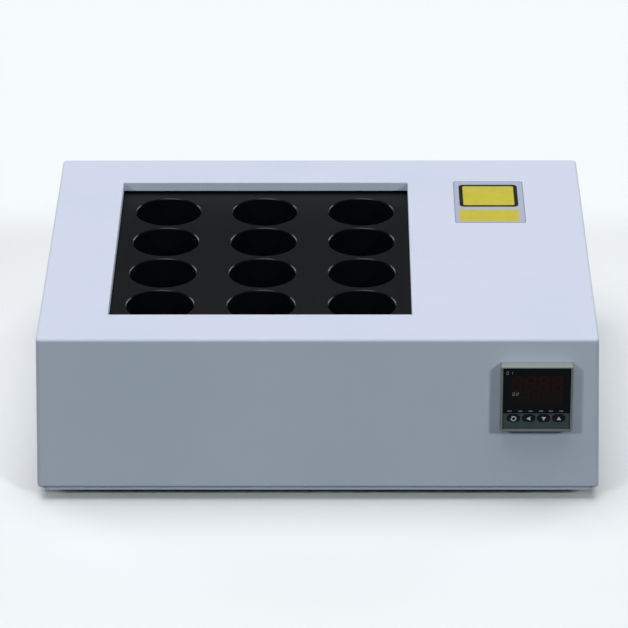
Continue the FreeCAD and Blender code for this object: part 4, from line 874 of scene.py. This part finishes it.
class BuildStudio(bpy.types.Operator):
    """Lay the pale floor, hang the lights and set the camera"""

    bl_idname = "heating_block.build_studio"
    bl_label = "Build the studio"

    def execute(self, context):
        look = settings("hb_studio")
        scene = context.scene
        scene.view_settings.view_transform = "Standard"
        reach = FLOOR_REACH
        corners = [(-reach, -reach, 0), (reach, -reach, 0), (reach, reach, 0), (-reach, reach, 0)]
        floor = add_paper("paper_floor", corners, [(0, 1, 2, 3)], pale_paper(look))
        # A low pale wall far away, so that level views end in paper too. It throws no light or
        # shadow, and metal and glass show it.
        ring = circle(WALL_DISTANCE, WALL_SIDES)
        points = [(x, y, z) for z in (0.0, WALL_HEIGHT) for x, y in ring]
        faces = [(n, (n + 1) % WALL_SIDES, WALL_SIDES + (n + 1) % WALL_SIDES, WALL_SIDES + n)
                 for n in range(WALL_SIDES)]
        wall = add_paper("paper_wall", points, faces, lit_paper(look))
        wall.visible_diffuse = False
        wall.visible_shadow = False
        world = bpy.data.worlds.new("room")
        world.use_nodes = True
        world.node_tree.nodes["Background"].inputs["Color"].default_value = (*look.room, 1.0)
        scene.world = world
        # Each light: its strength and tint, the way to it, and how wide it looks in degrees.
        lamps = (("top_light", look.top_light, WHITE, (-0.08, 0.0, 1.0), 56.0),
                 ("front_light_left", look.left_light, look.cool, (-0.73, -0.81, 0.62), 9.0),
                 ("front_light_right", look.right_light, look.cool, (0.73, -0.81, 0.62), 9.0),
                 ("back_light_left", look.back_light, WHITE, (-0.72, 0.66, 0.3), 30.0),
                 ("back_light_right", look.back_light, WHITE, (0.72, 0.66, 0.3), 30.0))
        for name, strength, tint, toward, spread in lamps:
            lamp = bpy.data.lights.new(name, "SUN")
            lamp.energy = strength
            lamp.color = tint
            lamp.angle = math.radians(spread)
            held = bpy.data.objects.new(name, lamp)
            held.rotation_euler = Vector(toward).to_track_quat("Z", "Y").to_euler()
            scene.collection.objects.link(held)
        camera = bpy.data.cameras.new("camera")
        camera.lens = look.lens
        held = bpy.data.objects.new("camera", camera)
        held.matrix_world = Matrix.Translation(look.eye) @ aimed(*look.aim).to_4x4()
        scene.collection.objects.link(held)
        scene.camera = held
        return {"FINISHED"}


STEPS = (FinishHousing, FinishFasteners, MakeScrewHeads, FinishBlock, FinishInside,
         FinishController, PrintController, PrintKeys, PrintLabel, FinishInlet, MarkRocker,
         BuildStudio)


class DressingPanel(bpy.types.Panel):
    """Lists the steps of the dressing and their settings"""

    bl_idname = "HEATING_BLOCK_PT_dressing"
    bl_label = "Heating block"
    bl_space_type = "VIEW_3D"
    bl_region_type = "UI"
    bl_category = "Heating block"

    def draw(self, context):
        layout = self.layout
        for group, kind in GROUPS.items():
            box = layout.box()
            for name in kind.__annotations__:
                box.prop(getattr(context.scene, group), name)
        for step in STEPS:
            layout.operator(step.bl_idname)


def register():
    """Register the settings, the steps and the panel."""
    for kind in (*GROUPS.values(), *STEPS, DressingPanel):
        bpy.utils.register_class(kind)
    for group, kind in GROUPS.items():
        setattr(bpy.types.Scene, group, PointerProperty(type=kind))


def unregister():
    """Take back what register did."""
    for group in GROUPS:
        delattr(bpy.types.Scene, group)
    for kind in reversed((*GROUPS.values(), *STEPS, DressingPanel)):
        bpy.utils.unregister_class(kind)


def main():
    """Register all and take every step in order."""
    register()
    for step in STEPS:
        category, name = step.bl_idname.split(".")
        getattr(getattr(bpy.ops, category), name)()


if __name__ == "__main__":
    main()
